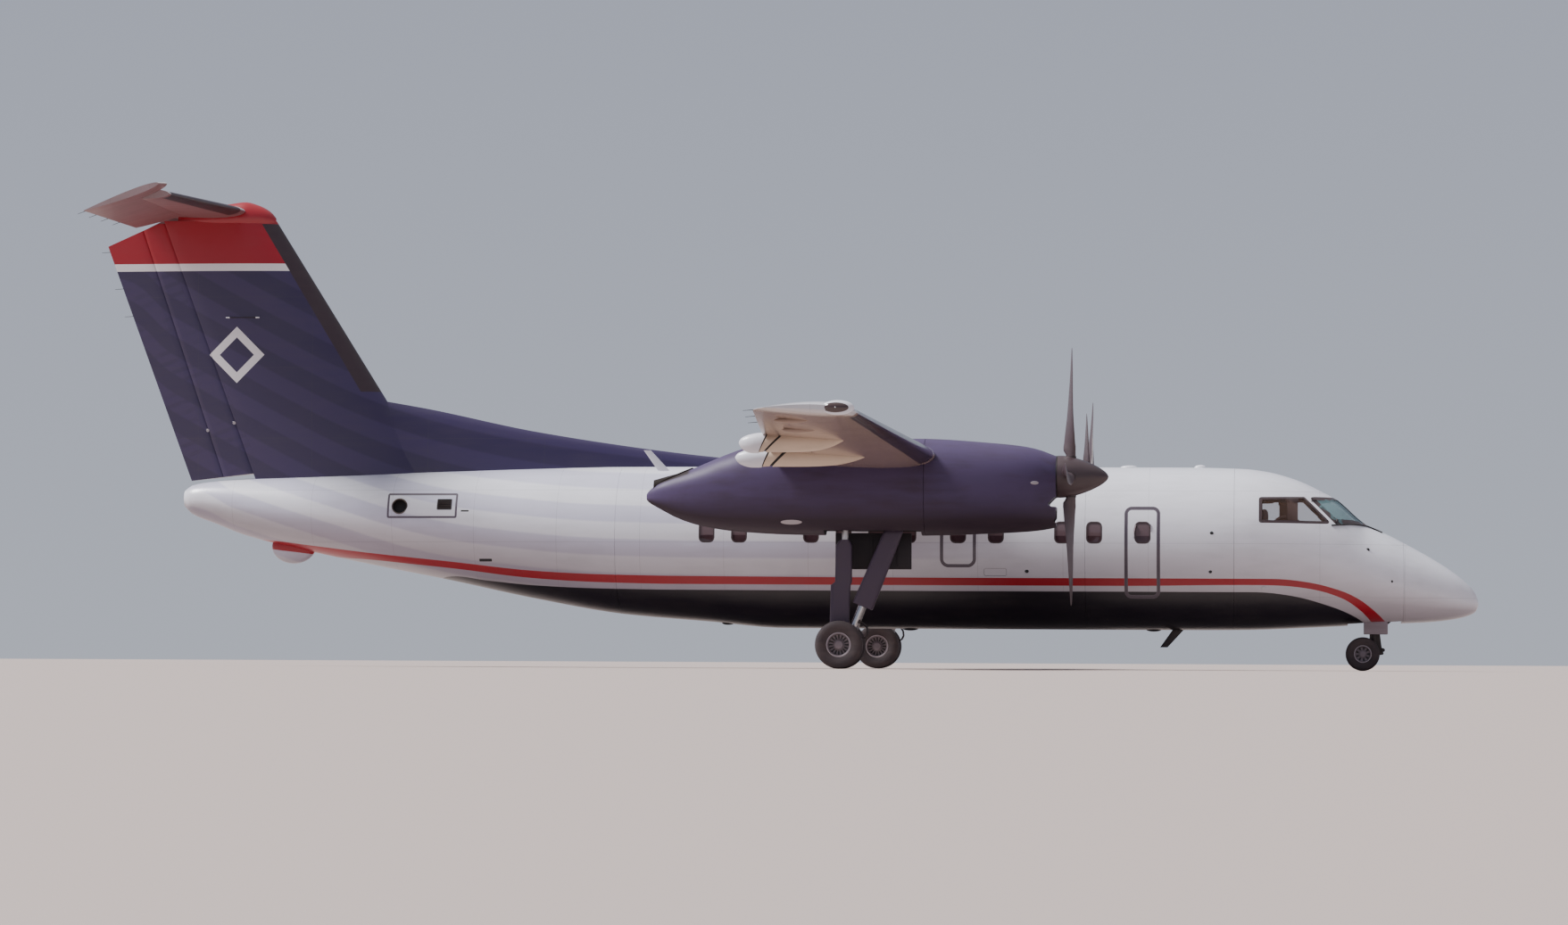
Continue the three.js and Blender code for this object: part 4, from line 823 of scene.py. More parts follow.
cockpit = {
    "side": [(7.64, 2.75), (7.64, 2.335), (8.8, 2.325), (8.36, 2.762)],
    "front": [(8.415, 2.765), (8.85, 2.326), (9.6, 2.326), (9.6, 2.765)],
    "post": 0.045, "round": 0.045, "frame": {"side": 0.048, "front": 0.095}, "pane": 0.022, "paneSunk": 0.006,
    "finish": {"side": "pane", "front": "screen"}, "node": {"side": "side_window_", "front": "windshield_"},
    # nose gear bay: ends along X, half width and roof; its lining, end walls and their feet, and the ribs
    "bay": (9.05, 9.9, 0.26, 1.15), "lining": 0.012, "endWall": 0.02, "endFeet": (0.76, 0.81),
    "ribHalf": 0.012, "ribDepth": 0.022, "ribFoot": 0.8,
    "bulkheads": {"rearBulkhead": 7.262, "frontBulkhead": 9.34}, "bulkheadFoot": 1.1,
    # sun visors on their rails: lowest and highest X of each, and the path of the grab handle below
    "visorX": {"left": (7.96, 8.13), "right": (8.085, 8.255)}, "visorZ": (2.385, 2.72), "visorY": 0.84,
    "visorHalf": 0.006, "clampHalf": (0.1, 0.012), "clampZ": (2.67, 2.74), "rail": (7.74, 8.36, 2.735),
    "handle": [(7.885, 2.33), (7.91, 2.39), (7.98, 2.43), (8.08, 2.445), (8.18, 2.43), (8.25, 2.39),
               (8.275, 2.33)],
    "frontVisor": ((8.47, 0.16, 2.66), (8.482, 0.72, 2.75), 0.004),
}


# the same outline with each corner turned through a small radius
def softened(corners, radius, steps=4):
    made = []
    count = len(corners)
    for k in range(count):
        before, here, after = (Vector(corners[(k + n) % count]) for n in (-1, 0, 1))
        back, ahead = (before - here).normalized(), (after - here).normalized()
        reach = radius / tan(back.angle(ahead) / 2)
        first, last = here + back * reach, here + ahead * reach
        for n in range(steps + 1):
            t = n / steps
            made.append(tuple(first * (1 - t) ** 2 + here * 2 * t * (1 - t) + last * t ** 2))
    return made


def glassFaces(bm, corners, side):
    faces = cutRegion(bm, softened(corners, cockpit["round"]), "y", side)
    return [face for face in faces if abs(face.calc_center_median().y) >= cockpit["post"]]


def cockpitTube():
    stations = noseStations(hull["radomeX"] - hull["seam"], hull["cockpitX"] + hull["seam"], 30)
    bm = ovalBody(hullRow, stations, closed=(False, False), sides=hull["sides"])
    for side in (1, -1):
        splitAt(bm, (0, side * cockpit["post"], 0), (0, 1, 0))
    return bm


def buildCockpit():
    bm = cockpitTube()
    for side in (1, -1):
        for key in ("side", "front"):
            bmesh.ops.delete(bm, geom=glassFaces(bm, cockpit[key], side), context="FACES")
    x0, x1, half, top = cockpit["bay"]
    mouth = cutRegion(bm, [(x0, -half), (x1, -half), (x1, half), (x0, half)], "z", -1, 1.3)
    bmesh.ops.delete(bm, geom=mouth, context="FACES")
    finishPiece("cockpitShell", bm, ["hull", "seam"], stands=["fuselage_cockpit"], wall=hull["wall"])

    for name, side in sides.items():
        for key in ("side", "front"):
            bm = cockpitTube()
            keepOnly(bm, glassFaces(bm, cockpit[key], side))
            rimmed(bm, bm.faces[:], cockpit["frame"][key], 1, use_boundary=True)
            bmesh.ops.translate(bm, verts=bm.verts, vec=(0, -side * cockpit["paneSunk"], 0))
            node = cockpit["node"][key] + name
            finishPiece(node + "Glass", bm, [cockpit["finish"][key], "frame"], stands=[node], slot="pane",
                        wall=cockpit["pane"], facing=(0.3, side, 0.3))

    # nose gear bay: ends, a roof, and side walls with ribs
    bm = bmesh.new()
    lining, endWall = cockpit["lining"], cockpit["endWall"]
    rearFoot, frontFoot = cockpit["endFeet"]
    wide = half + lining
    for first, last, foot in ((x0 - endWall, x0, rearFoot), (x1, x1 + endWall, frontFoot), (x0, x1, top)):
        slab(bm, (first, -wide, foot), (last, wide, top + lining))
    for side in (1, -1):
        low, high = sorted((side * half, side * wide))
        rings = []
        for x in between(x0, x1, 8):
            edge = hullLow(x, half) + 0.006
            rings.append([(x, low, edge), (x, high, edge), (x, high, top), (x, low, top)])
        loft(rings, bm)
        ribs = cockpit["ribHalf"]
        slabs(bm, [((x - ribs, half - cockpit["ribDepth"], cockpit["ribFoot"]), (x + ribs, half, top))
                   for x in between(x0 + 0.1, x1 - 0.1, 5)], way=side)
    finishPiece("noseBayWalls", bm, "dark", slot="inside")


def buildCockpitInside():
    floorZ = hull["floorZ"]
    for name, x in cockpit["bulkheads"].items():
        bm = ovalBody(hullRow, [x, x - 0.02], sides=hull["sides"], grow=-hull["wall"] - 0.002)
        splitAt(bm, (0, 0, cockpit["bulkheadFoot"]), (0, 0, -1), drop=True)
        finishPiece(name, bm, "inside")
    rows = []
    for x in between(*cockpit["bulkheads"].values(), 12):
        y = abs(hullY(x, floorZ - 0.01, 1)) - hull["wall"]
        rows.append([(x, -y, floorZ - 0.03), (x, y, floorZ - 0.03), (x, y, floorZ), (x, -y, floorZ)])
    finishPiece("cockpitFloor", loft(rows), "inside")

    # both visors come before the bars, because a loft starts from fresh vertices
    bm = bmesh.new()
    for name, side in sides.items():
        outline = roundedCorners(*cockpit["visorX"][name], *cockpit["visorZ"], 0.03)
        y, thin = side * cockpit["visorY"], cockpit["visorHalf"]
        loft([[(px, y + off, pz) for px, pz in outline] for off in (-thin, thin)], bm)
    for name, side in sides.items():
        y = side * cockpit["visorY"]
        middle = sum(cockpit["visorX"][name]) / 2
        halfX, halfY = cockpit["clampHalf"]
        low, high = cockpit["clampZ"]
        slab(bm, (middle - halfX, y - halfY, low), (middle + halfX, y + halfY, high), 0.005)
        first, last, height = cockpit["rail"]
        bar(bm, (first, y, height), (last, y, height), 0.01, sides=12, bevel=0.002)
        tube(bm, [Vector((px, y - side * 0.03, pz)) for px, pz in cockpit["handle"]], 0.022, 12, 0.003)
        slabs(bm, [cockpit["frontVisor"]], way=side)
    finishPiece("cockpitVisors", bm, "inside")


panel = {
    "profile": [(9.33, 1.25), (9.33, 2.17), (9.0, 2.255), (8.79, 2.235), (8.77, 2.215), (8.8, 2.17),
                (8.84, 1.8), (8.84, 1.25)],
    "half": 0.78, "clear": 0.062, "screens": [-0.62, -0.42, -0.1, 0.1, 0.42, 0.62],
    # boxes here and below: lowest and highest corner, bevel
    "screen": ((8.803, -0.085, 1.91), (8.832, 0.085, 2.06), 0.006), "yokes": [-0.48, 0.48],
    # column, wheel and its two horns
    "yoke": [((8.6, 0, 1.8), (8.84, 0, 1.86), 0.018), ((8.6, -0.15, 1.84), (8.6, 0.15, 1.84), 0.016),
             ((8.6, -0.15, 1.83), (8.585, -0.165, 1.96), 0.017), ((8.6, 0.15, 1.83), (8.585, 0.165, 1.96), 0.017)],
    "pedestal": ((8.3, -0.13, 1.28), (8.84, 0.13, 1.72), 0.02),
    "leverX": (8.36, 8.5, 8.64), "leverY": (-0.07, 0.0, 0.07),
}


def buildPanel():
    rows = []
    for share in between(-1.0, 1.0, 16):
        rows.append([(x, share * min(panel["half"], hullY(x, max(z, 1.3), 1) - panel["clear"]), z)
                     for x, z in panel["profile"]])
    finishPiece("instrumentPanel", loft(rows), "inside", stands=["instrument_panel"])
    bm = bmesh.new()
    for y in panel["screens"]:
        slabs(bm, [panel["screen"]], y)
    finishPiece("instrumentScreens", bm, "cabinPane", slot="inside")
    bm = bmesh.new()
    for y in panel["yokes"]:
        bars(bm, panel["yoke"], y)
    slab(bm, *panel["pedestal"])
    for x in panel["leverX"]:
        for y in panel["leverY"]:
            bar(bm, (x, y, 1.715), (x - 0.02, y, 1.8), 0.008)
    finishPiece("cockpitControls", bm, "inside")


# pilots' seats: cushions with a crown, on a metal frame
seats = {
    "y": 0.48, "fill": 0.65, "cuts": 9, "channel": 0.36, "channelHalf": 0.08,
    "parts": {
        "cushion": {"low": (7.77, -0.225, 1.545), "high": (8.275, 0.225, 1.675), "lean": 0.0},
        "back": {"low": (7.665, -0.215, 1.62), "high": (7.785, 0.215, 2.35), "lean": -0.1},
        "head": {"low": (7.665, -0.125, 2.36), "high": (7.785, 0.125, 2.57), "lean": 0.0},
        "lumbar": {"low": (7.78, -0.15, 1.7), "high": (7.84, 0.15, 1.98), "lean": -0.12},
    },
    # foot, column and pan in the middle; an arm rest, back post, arm bracket and headrest post on each side
    "middle": [((7.8, -0.13, 1.252), (8.22, 0.13, 1.3), 0.01), ((7.86, -0.09, 1.3), (8.16, 0.09, 1.5), 0.02),
               ((7.75, -0.2, 1.5), (8.25, 0.2, 1.542), 0.012)],
    "arms": [((7.74, 0.223, 1.83), (8.1, 0.267, 1.87), 0.012)],
    "posts": [((7.7, 0.18, 1.53), (7.64, 0.18, 2.3), 0.016), ((7.72, 0.235, 1.84), (7.69, 0.19, 1.72), 0.012),
              ((7.695, 0.05, 2.28), (7.695, 0.05, 2.4), 0.007)],
}


def cushionMesh(low, high, lean, shiftY):
    bm = bmesh.new()
    bmesh.ops.create_cube(bm, size=2.0)
    bmesh.ops.subdivide_edges(bm, edges=bm.edges[:], cuts=seats["cuts"], use_grid_fill=True)
    sizes = [(b - a) / 2 for a, b in zip(low, high)]
    centre = [(a + b) / 2 for a, b in zip(low, high)]
    thin = sizes.index(min(sizes))
    first, second = [k for k in range(3) if k != thin]
    for vert in bm.verts:
        a, b, depth = vert.co[first], vert.co[second], vert.co[thin]
        crown = 0.5 + 0.5 * (1 - a ** 4) * (1 - b ** 4)
        corner = (1 - 0.06 * abs(a * b) ** 4) * (1 - 0.05 * abs(depth) ** 3)
        place = [0.0, 0.0, 0.0]
        place[thin] = depth * crown * sizes[thin]
        if abs(abs(a) - seats["channel"]) < seats["channelHalf"]:
            place[thin] *= 0.9
        place[first] = a * (1 - 0.035 * (1 - b ** 2)) * corner * sizes[first]
        place[second] = b * (1 - 0.035 * (1 - a ** 2)) * corner * sizes[second]
        place[0] += lean * place[2]
        vert.co = [p + c for p, c in zip(place, centre)]
        vert.co.y += shiftY
    return bm


def buildSeats():
    for name, side in sides.items():
        y = side * seats["y"]
        for part, spec in seats["parts"].items():
            bm = cushionMesh(spec["low"], spec["high"], spec["lean"], y)
            piece = finishPiece("seat_" + part + "_" + name, bm, "cloth", sharp=80)
            smoother = piece.modifiers.new("soft", "SUBSURF")
            smoother.levels = smoother.render_levels = 1
        bm = slabs(bmesh.new(), seats["middle"], y)
        for way in (-1, 1):
            slabs(bm, seats["arms"], y, way)
            bars(bm, seats["posts"], y, way)
        finishPiece("seatFrame_" + name, bm, "metal", stands=["pilot_seat_" + name], slot="inside")


marks = {
    "hatch": (3.3, 3.66, 1.48, 1.6), "exit": (2.63, 3.15, 1.64, 2.62),
    # domes on the centre line: station, height, half length, half height, and 1 on the roof or -1 below
    "bumps": [(5.56, 3.258, 0.14, 0.035, 1), (6.7, 3.252, 0.1, 0.05, 1), (5.96, 0.634, 0.12, 0.03, -1),
              (2.05, 0.64, 0.13, 0.035, -1), (3.6, 3.256, 0.07, 0.03, 1), (-0.9, 0.715, 0.1, 0.03, -1)],
    "wiper": [(8.79, 2.3), (8.98, 2.312), (9.18, 2.318), (9.36, 2.3), (9.5, 2.245), (9.6, 2.2)],
    "lenses": [(7.71, 1.32, 0.036)],
    "ports": [(3.98, 1.56, 0.032), (6.88, 1.56, 0.028), (6.9, 2.165, 0.03), (9.36, 1.92, 0.03),
              (9.74, 1.42, 0.02)],
}


def buildFrontHull():
    bm = hullTube(hull["cockpitX"] - hull["seam"], hull["entryX"] + hull["seam"], 0.18, (True, True))
    door = doors["airstair"]
    u0, u1, v0, v1 = door["corners"]
    gap = door["gap"]
    mouth = roundedCorners(u0 - gap, u1 + gap, door["sill"], v1 + gap, door["radius"], door["lower"])
    sink(bm, cutRegion(bm, mouth, "y", 1), level=door["recessY"], axis="y", paint=4, wallPaint=4)
    pocket(bm, doors["exit_front_right"], 0.05)
    for x in window["front"]:
        for side in (1, -1):
            cabinWindow(bm, x, side, 2, 3)
    finishPiece("frontHull", bm, ["hull", "seam", "frame", "cabinPane", "inside"], stands=["fuselage_front"])

    bm = bmesh.new()
    slab(bm, (u0 + 0.02, door["recessY"] + 0.005, door["sill"] + 0.001), (u1 - 0.02, 0.928, 1.084), 0.006)
    for x in between(u0 + 0.08, u1 - 0.08, 7):
        slab(bm, (x - 0.012, door["recessY"] + 0.02, 1.084), (x + 0.012, 0.91, 1.0865))
    finishPiece("entryFloor", bm, "inside")

    bm = doorSkin(doors["exit_front_right"])
    cabinWindow(bm, 5.81, -1, 1, 2)
    finishPiece("exitPanel", bm, ["hull", "frame", "cabinPane"], stands=["exit_front_right"],
                wall=0.04, facing=(0, -1, 0))

    finishPiece("airstairPanel", doorSkin(door), "hull", body="airstair", stands=["airstair_door"],
                wall=door["thick"], facing=(0, 1, 0))
    bm = bmesh.new()
    y, z = door["hinge"]
    bar(bm, (u0 - 0.005, y, z), (u1 + 0.005, y, z), door["barrel"])
    slab(bm, (u0 + 0.13, y - 0.012, z), (u1 - 0.13, y + 0.012, z + 0.04))
    slant = radians(door["slant"])
    along = Vector((0, -sin(slant), cos(slant)))
    across = Vector((0, along.z, -along.y)) * door["stepHalf"]
    ends = (u0 + door["inset"], u1 - door["inset"])
    for height in door["steps"]:
        root = Vector((0, hullY(5.8, height, 1) - door["thick"] - 0.012, height))
        tip = root + along * door["reach"]
        corners = (root - across, tip - across, tip + across, root + across)
        loft([[Vector((x, 0, 0)) + corner for corner in corners] for x in ends], bm)
        for x in ends:
            slab(bm, (x - 0.008, tip.y - 0.02, root.z - 0.03), (x + 0.008, root.y + 0.01, tip.z))
    finishPiece("airstairSteps", bm, "metal", body="airstair")


def buildCentreHull():
    bm = hullTube(hull["entryX"] - hull["seam"], hull["tailX"] + hull["seam"], 0.25, (True, True))
    for side in (1, -1):
        hatchLine(bm, marks["exit"], side, radius=0.12)
        for x in window["centre"]:
            cabinWindow(bm, x, side, 2, 3)
    hatchLine(bm, marks["hatch"], -1)
    finishPiece("centreHull", bm, ["hull", "seam", "frame", "cabinPane"], stands=["fuselage_centre"])


tail = {
    # outlet: station, height, radius; grille and plates: lowest and highest X and Z; pod: centre and radii
    "exhaust": (-6.12, 2.575, 0.118), "grille": (-5.51, -5.26, 2.515, 2.695),
    "plates": [(-5.11, -4.98, 2.487, 2.513), (-4.82, -4.61, 1.69, 1.735)],
    "pod": ((-8.01, 0.0, 1.945), (0.36, 0.145, 0.28)),
}


def buildRearHull():
    stations = between(hull["tailX"] - hull["seam"], -8.8, 24) + between(-8.9, -9.69, 8) + [-9.75, -9.79, -9.81]
    bm = ovalBody(hullRow, stations, sides=hull["sides"])
    pocket(bm, doors["baggage_door"], 0.05)
    sink(bm, hatchLine(bm, tail["grille"], -1, radius=0.02, width=0.012), (0, 0.03, 0), paint=2, wallPaint=2)
    for corners in tail["plates"]:
        for face in cutRegion(bm, roundedCorners(*corners, 0.008, steps=2), "y", -1):
            face.material_index = 2
    x, z, radius = tail["exhaust"]
    disc = [(x + radius * cos(a), z + radius * sin(a)) for a in between(0, 2 * pi, 20)[:-1]]
    sink(bm, cutRegion(bm, disc, "y", -1), (0, 0.1, 0), paint=2, wallPaint=3)
    finishPiece("rearHull", bm, ["hull", "seam", "dark", "hot"], stands=["fuselage_rear"])
    bm = doorSkin(doors["baggage_door"])
    finishPiece("baggagePanel", bm, "hull", stands=["baggage_door"], wall=0.04, facing=(0, 1, 0))

    bm = bmesh.new()
    y = hullY(x, z, -1)
    spun(bm, [(radius, -0.05), (radius + 0.012, -0.04), (radius + 0.012, 0.012), (radius + 0.004, 0.018),
              (radius - 0.006, 0.01), (radius - 0.006, -0.05), (radius, -0.05)], (x, y, z), (0, -1, 0.25), 28)
    u0, u1, v0, v1 = tail["grille"]
    for height in between(v0 + 0.03, v1 - 0.03, 5):
        edge = hullY(-5.41, height, -1)
        slab(bm, (u0 + 0.01, edge + 0.001, height - 0.006), (u1 - 0.01, edge + 0.022, height + 0.004))
    finishPiece("tailUnitDetail", bm, "hot")

    bm = bmesh.new()
    blob(bm, *tail["pod"], 40, 24, order=(2, 1, 0))
    finishPiece("tailPod", bm, "hull")


def flatBlade(low, high, thick, sides=24):
    rings = []
    for x0, x1, y, z in (low, high):
        rings.append([((x0 + x1) / 2 + (x1 - x0) / 2 * cos(a), y + thick / 2 * sin(a), z)
                      for a in between(0, 2 * pi, sides)[:-1]])
    return loft(rings)


def buildHullDetails():
    bm = flatBlade((6.06, 6.18, 0, 0.363), (6.3, 6.49, 0, 0.7), 0.026)
    finishPiece("bellyAerial", bm, "gearDark", slot="navy")
    bm = flatBlade((-1.95, -1.75, -0.45, 3.1), (-2.235, -2.12, -0.45, 3.5), 0.022)
    finishPiece("roofAerial", bm, "white")
    bm = bmesh.new()
    for x, z, half, high, way in marks["bumps"]:
        blob(bm, (x, 0, z - way * 0.01), (half, half * 0.7, high), 20, 12)
    finishPiece("hullBumps", bm, "hull")
    for key, finish in (("lenses", "metal"), ("ports", "dark")):
        bm = bmesh.new()
        for x, z, radius in marks[key]:
            for side in (1, -1):
                spun(bm, [(0, 0.006), (radius * 0.6, 0.005), (radius, 0.0), (radius, -0.01), (0, -0.01)],
                     (x, hullY(x, z, side), z), (0, side, 0), 20)
        finishPiece("hull" + key.capitalize(), bm, finish, slot="gear_metal")
    bm = bmesh.new()
    for side in (1, -1):
        tube(bm, [Vector((x, hullY(x, z, side, 0.01), z + 0.008)) for x, z in marks["wiper"]], 0.012, 10, 0.002)
    finishPiece("wipers", bm, "dark")


# wing: a cambered section along the span, cut for the flap and the aileron
wing = {
    "root": 4.58, "tip": 12.62, "end": 12.95, "lead": (2.72, 2.16), "leadZ": (3.27, 3.56),
    "chord": (2.46, 1.44), "depth": (0.443, 0.202), "drop": (0.086, -0.025), "camber": 0.025,
    "flapCut": 0.7, "flapLead": 0.706, "hinge": 0.74, "flapSpan": (4.7, 9.3), "aileronSpan": (9.486, 12.574),
    "clear": 0.008, "joint": 4.584, "tipShares": (0.0, 0.25, 0.45, 0.62, 0.78, 0.9, 1.0),
    "wicks": (10.9, 11.8, 12.7), "brackets": (10.35, 11.85),
    # a bracket's stations from its middle, and half height at each
    "bracket": [(0.22, 0.005), (0.18, 0.02), (0.1, 0.034), (0.0, 0.04), (-0.12, 0.036), (-0.22, 0.024),
                (-0.26, 0.006)],
    # tip lamp: place, then piece, finish, shift along X and radii
    "lamp": (1.925, 12.905, 3.612),
    "lampParts": [("tipRim_", "white", 0.0, (0.228, 0.062, 0.102)),
                  ("tipLens_", "lens", -0.015, (0.206, 0.08, 0.084)),
                  ("tipLight_", "metal", -0.03, (0.024, 0.087, 0.02))],
}
noseShares = [0.0, 0.0012, 0.005, 0.012, 0.024, 0.042, 0.068, 0.105]
midShares = [0.15, 0.21, 0.28, 0.35, 0.42, 0.49, 0.56, 0.63, 0.7]
aftShares = [0.74, 0.79, 0.84, 0.89, 0.94, 0.975, 1.0]


def wingSection(span):
    t = min(1.0, max(0.0, (span - wing["root"]) / (wing["tip"] - wing["root"])))
    q = max(0.0, (span - wing["tip"]) / (wing["end"] - wing["tip"]))
    pick = {key: wing[key][0] + (wing[key][1] - wing[key][0]) * t
            for key in ("lead", "leadZ", "chord", "depth", "drop")}
    pick["chord"] -= 0.34 * q ** 2
    pick["lead"] -= 0.17 * q ** 2
    pick["leadZ"] += 0.025 * q
    pick["depth"] *= sqrt(1 - 0.9 * q ** 2)
    pick["camber"] = wing["camber"]
    return pick


def halfDepth(section, s):
    curve = 0.2969 * sqrt(s) - 0.126 * s - 0.3516 * s ** 2 + 0.2843 * s ** 3 - 0.1015 * s ** 4
    return 5 * section["depth"] * curve + 0.0022 * s * section["chord"]


def midLine(section, s):
    bow = 5 * s - 6.25 * s * s if s < 0.4 else (1 - s) * (0.2 + s) / 0.36
    return section.get("camber", 0.0) * bow * section["chord"]


def skinPoint(section, s, way):
    return s * section["chord"], midLine(section, s) + way * halfDepth(section, s)


# the back of a main surface: whole, cut flat for a flap, or hollowed for a round nose
def backPoints(section, kind, way, cut=None):
    if kind == "full":
        return [skinPoint(section, s, way) for s in aftShares]
    if kind == "wall":
        edge = skinPoint(section, wing["flapCut"], way)
        middle = midLine(section, wing["flapCut"])
        return [(edge[0], middle + (edge[1] - middle) * (1 - k / 7)) for k in range(7)]
    centre = (cut * section["chord"], midLine(section, cut))
    radius = halfDepth(section, cut) + wing["clear"]
    start = asin(min(1.0, halfDepth(section, cut) / radius))
    return [(centre[0] - radius * cos(a), centre[1] + way * radius * sin(a))
            for a in between(start, 0.0, 7)[:-1]]


def surfaceRing(section, place, kind="full", cut=None):
    last = 1.0 if cut is None else cut - (halfDepth(section, cut) + wing["clear"]) / section["chord"] * 0.55
    shares = midShares if cut is None or cut > 0.72 else between(0.15, last, 8)
    forward = [skinPoint(section, s, 1) for s in reversed(noseShares[1:] + shares)]
    back = [skinPoint(section, s, -1) for s in noseShares + shares]
    ring = backPoints(section, kind, 1, cut)[::-1] + forward + back + backPoints(section, kind, -1, cut)
    return [place(u, v) for u, v in ring]


# a moving surface behind a hinge: round nose, flat nose, or a whole section for a horn
def flapRing(section, place, start, nose="round"):
    shares = between(1.0, start, 6)
    upper = [skinPoint(section, s, 1) for s in shares]
    lower = [skinPoint(section, s, -1) for s in reversed(shares)]
    middle, height = start * section["chord"], midLine(section, start)
    radius = halfDepth(section, start)
    if nose == "horn":
        spread = [start * (k / 8) ** 1.8 for k in range(1, 8)]
        front = [skinPoint(section, s, 1) for s in reversed(spread)] + [(0.0, 0.0)]
        front += [skinPoint(section, s, -1) for s in spread]
    elif nose == "round":
        front = [(middle - radius * sin(a), height + radius * cos(a))
                 for a in between(0.0, pi, 16)[1:-1]]
    else:
        front = [(middle, height + radius * (1 - k / 8)) for k in range(1, 16)]
    return [place(u, v) for u, v in upper + front + lower]


def markChord(bm, sectionOf, along):
    share = bm.verts.layers.float.new("chordShare")
    reach = bm.verts.layers.float.new("spanShare")
    for vert in bm.verts:
        span = abs(vert.co[along])
        section = sectionOf(span)
        vert[share] = (section["lead"] - vert.co.x) / section["chord"]
        vert[reach] = span
    return bm


# the section at a span, and where a point of it comes in the frame
def onWing(span, side):
    section = wingSection(span)
    return section, lambda u, v: (section["lead"] - u, side * span,
                                  section["leadZ"] - u / section["chord"] * section["drop"] + v)


def wingRings(side, stations):
    return [surfaceRing(*onWing(span, side), kind, wing["hinge"] if kind == "cove" else None)
            for span, kind in stations]


canoes = {
    # span, nose and tail along X, half width; share of the length, of the full section, sag, slant of the section
    "rows": [(6.3, 1.87, -0.16, 0.135), (8.95, 1.7, 0.16, 0.125)], "drop": 0.12, "half": 0.15,
    "fullness": [(0.0, 0.03, -0.03, 0.0), (0.02, 0.14, -0.03, 0.0), (0.07, 0.36, -0.02, 0.0),
                 (0.14, 0.6, -0.01, 0.05), (0.25, 0.84, 0.0, 0.15), (0.4, 0.98, 0.0, 0.5), (0.56, 1.0, 0.0, 0.95),
                 (0.66, 1.0, 0.0, 1.05), (0.72, 0.98, 0.005, 0.75), (0.78, 0.98, 0.01, 0.4),
                 (0.84, 0.96, 0.015, 0.24), (0.9, 0.86, 0.02, 0.12), (0.95, 0.66, 0.02, 0.05),
                 (0.985, 0.38, 0.015, 0.0), (1.0, 0.08, 0.01, 0.0)],
    # the dark body in the middle shows through the gaps between the parts: painted shade in the gaps
    # piece, finish, first and last share, growth
    "parts": [("canoeBodies_", "canoe", 0.0, 0.648, 1.0), ("canoeGapShades_", "dark", 0.64, 0.78, 0.9),
              # the cones' white is a painted highlight for the sunlit tails of the fairings
              ("canoeBacks_", "canoe", 0.676, 0.76, 0.97), ("canoeCones_", "white", 0.772, 1.0, 1.03)],
}


def buildWing(name, side):
    inner, outer = wing["flapSpan"]
    aileronIn, aileronOut = wing["aileronSpan"]
    stations = [(wing["joint"], "full"), (inner, "full"), (inner, "wall"), (outer, "wall"), (outer, "full"),
                (aileronIn, "full"), (aileronIn, "cove"), (aileronOut, "cove"), (aileronOut, "full")]
    stations += [(wing["tip"] + q * (wing["end"] - wing["tip"]), "full") for q in wing["tipShares"]]
    bm = markChord(loft(wingRings(side, stations)), wingSection, 1)
    finishPiece("wingSkin_" + name, bm, "tan", stands=["wing_" + name])
    for part, body, gap, start, nose, slot in (
            ("flap", "airframe", 0.008, wing["flapLead"], "flat", "surface_tan"),
            ("aileron", "aileron_" + name, 0.014, wing["hinge"], "round", "hull_white")):
        first, last = wing[part + "Span"]
        bm = loft([flapRing(*onWing(span, side), start, nose) for span in between(first + gap, last - gap, 2)])
        finishPiece(part + "Skin_" + name, markChord(bm, wingSection, 1), "tan", body=body,
                    stands=[part + "_" + name], slot=slot)


def buildCanoes(name, side):
    full = fairCurve(canoes["fullness"])
    for piece, finish, first, last, grow in canoes["parts"]:
        bm = bmesh.new()
        for span, noseX, tailX, half in canoes["rows"]:
            section, place = onWing(span, side)
            middle = place(0.55 * section["chord"], 0.0)[2] - canoes["drop"]
            rings = []
            for share in between(first, last, 26):
                size, sag, slant = full(share)
                level, high = middle - sag, canoes["half"] * size * grow
                row = (level + high, level - high, half * size * grow, level)
                ring = ovalRing(noseX + share * (tailX - noseX), row, side * span, sides=32)
                rings.append([(px + slant * (pz - level), py, pz) for px, py, pz in ring])
            loft(rings, bm)
        finishPiece(piece + name, bm, finish, slot="surface_tan")


def buildWingDetails(name, side):
    bm = bmesh.new()
    for span in wing["brackets"]:
        section, place = onWing(span, side)
        x, y, z = Vector(place(0.66 * section["chord"], 0.0)) - Vector((0, 0, 0.062))
        loft([ovalRing(x + dx, (z + high, z - high, high, z), y, sides=20) for dx, high in wing["bracket"]], bm)
    finishPiece("aileronBrackets_" + name, bm, "bracket")
    bm = bmesh.new()
    for span in wing["wicks"]:
        section, place = onWing(span, side)
        wick(bm, place(section["chord"] - 0.02, 0.0), 0.16, 0.012)
    finishPiece("wicks_" + name, bm, "dark")
    x, y, z = wing["lamp"]
    for piece, finish, shift, radii in wing["lampParts"]:
        bm = bmesh.new()
        blob(bm, (x + shift, side * y, z), radii, 28, 16)
        finishPiece(piece + name, bm, finish, slot="pane")


# centre of the wing, and the fairing that carries it over the fuselage
fairing = {
    "rows": [(-0.3, 3.345, 3.0, 0.24, 3.1), (0.3, 3.43, 3.0, 0.56, 3.15), (1.2, 3.44, 3.0, 0.8, 3.15),
             (2.3, 3.44, 3.0, 0.8, 3.15), (2.9, 3.43, 3.0, 0.62, 3.15), (3.5, 3.33, 3.0, 0.38, 3.1),
             (3.8, 3.25, 3.0, 0.2, 3.1)],
    "from": -0.297, "to": 3.797,
}


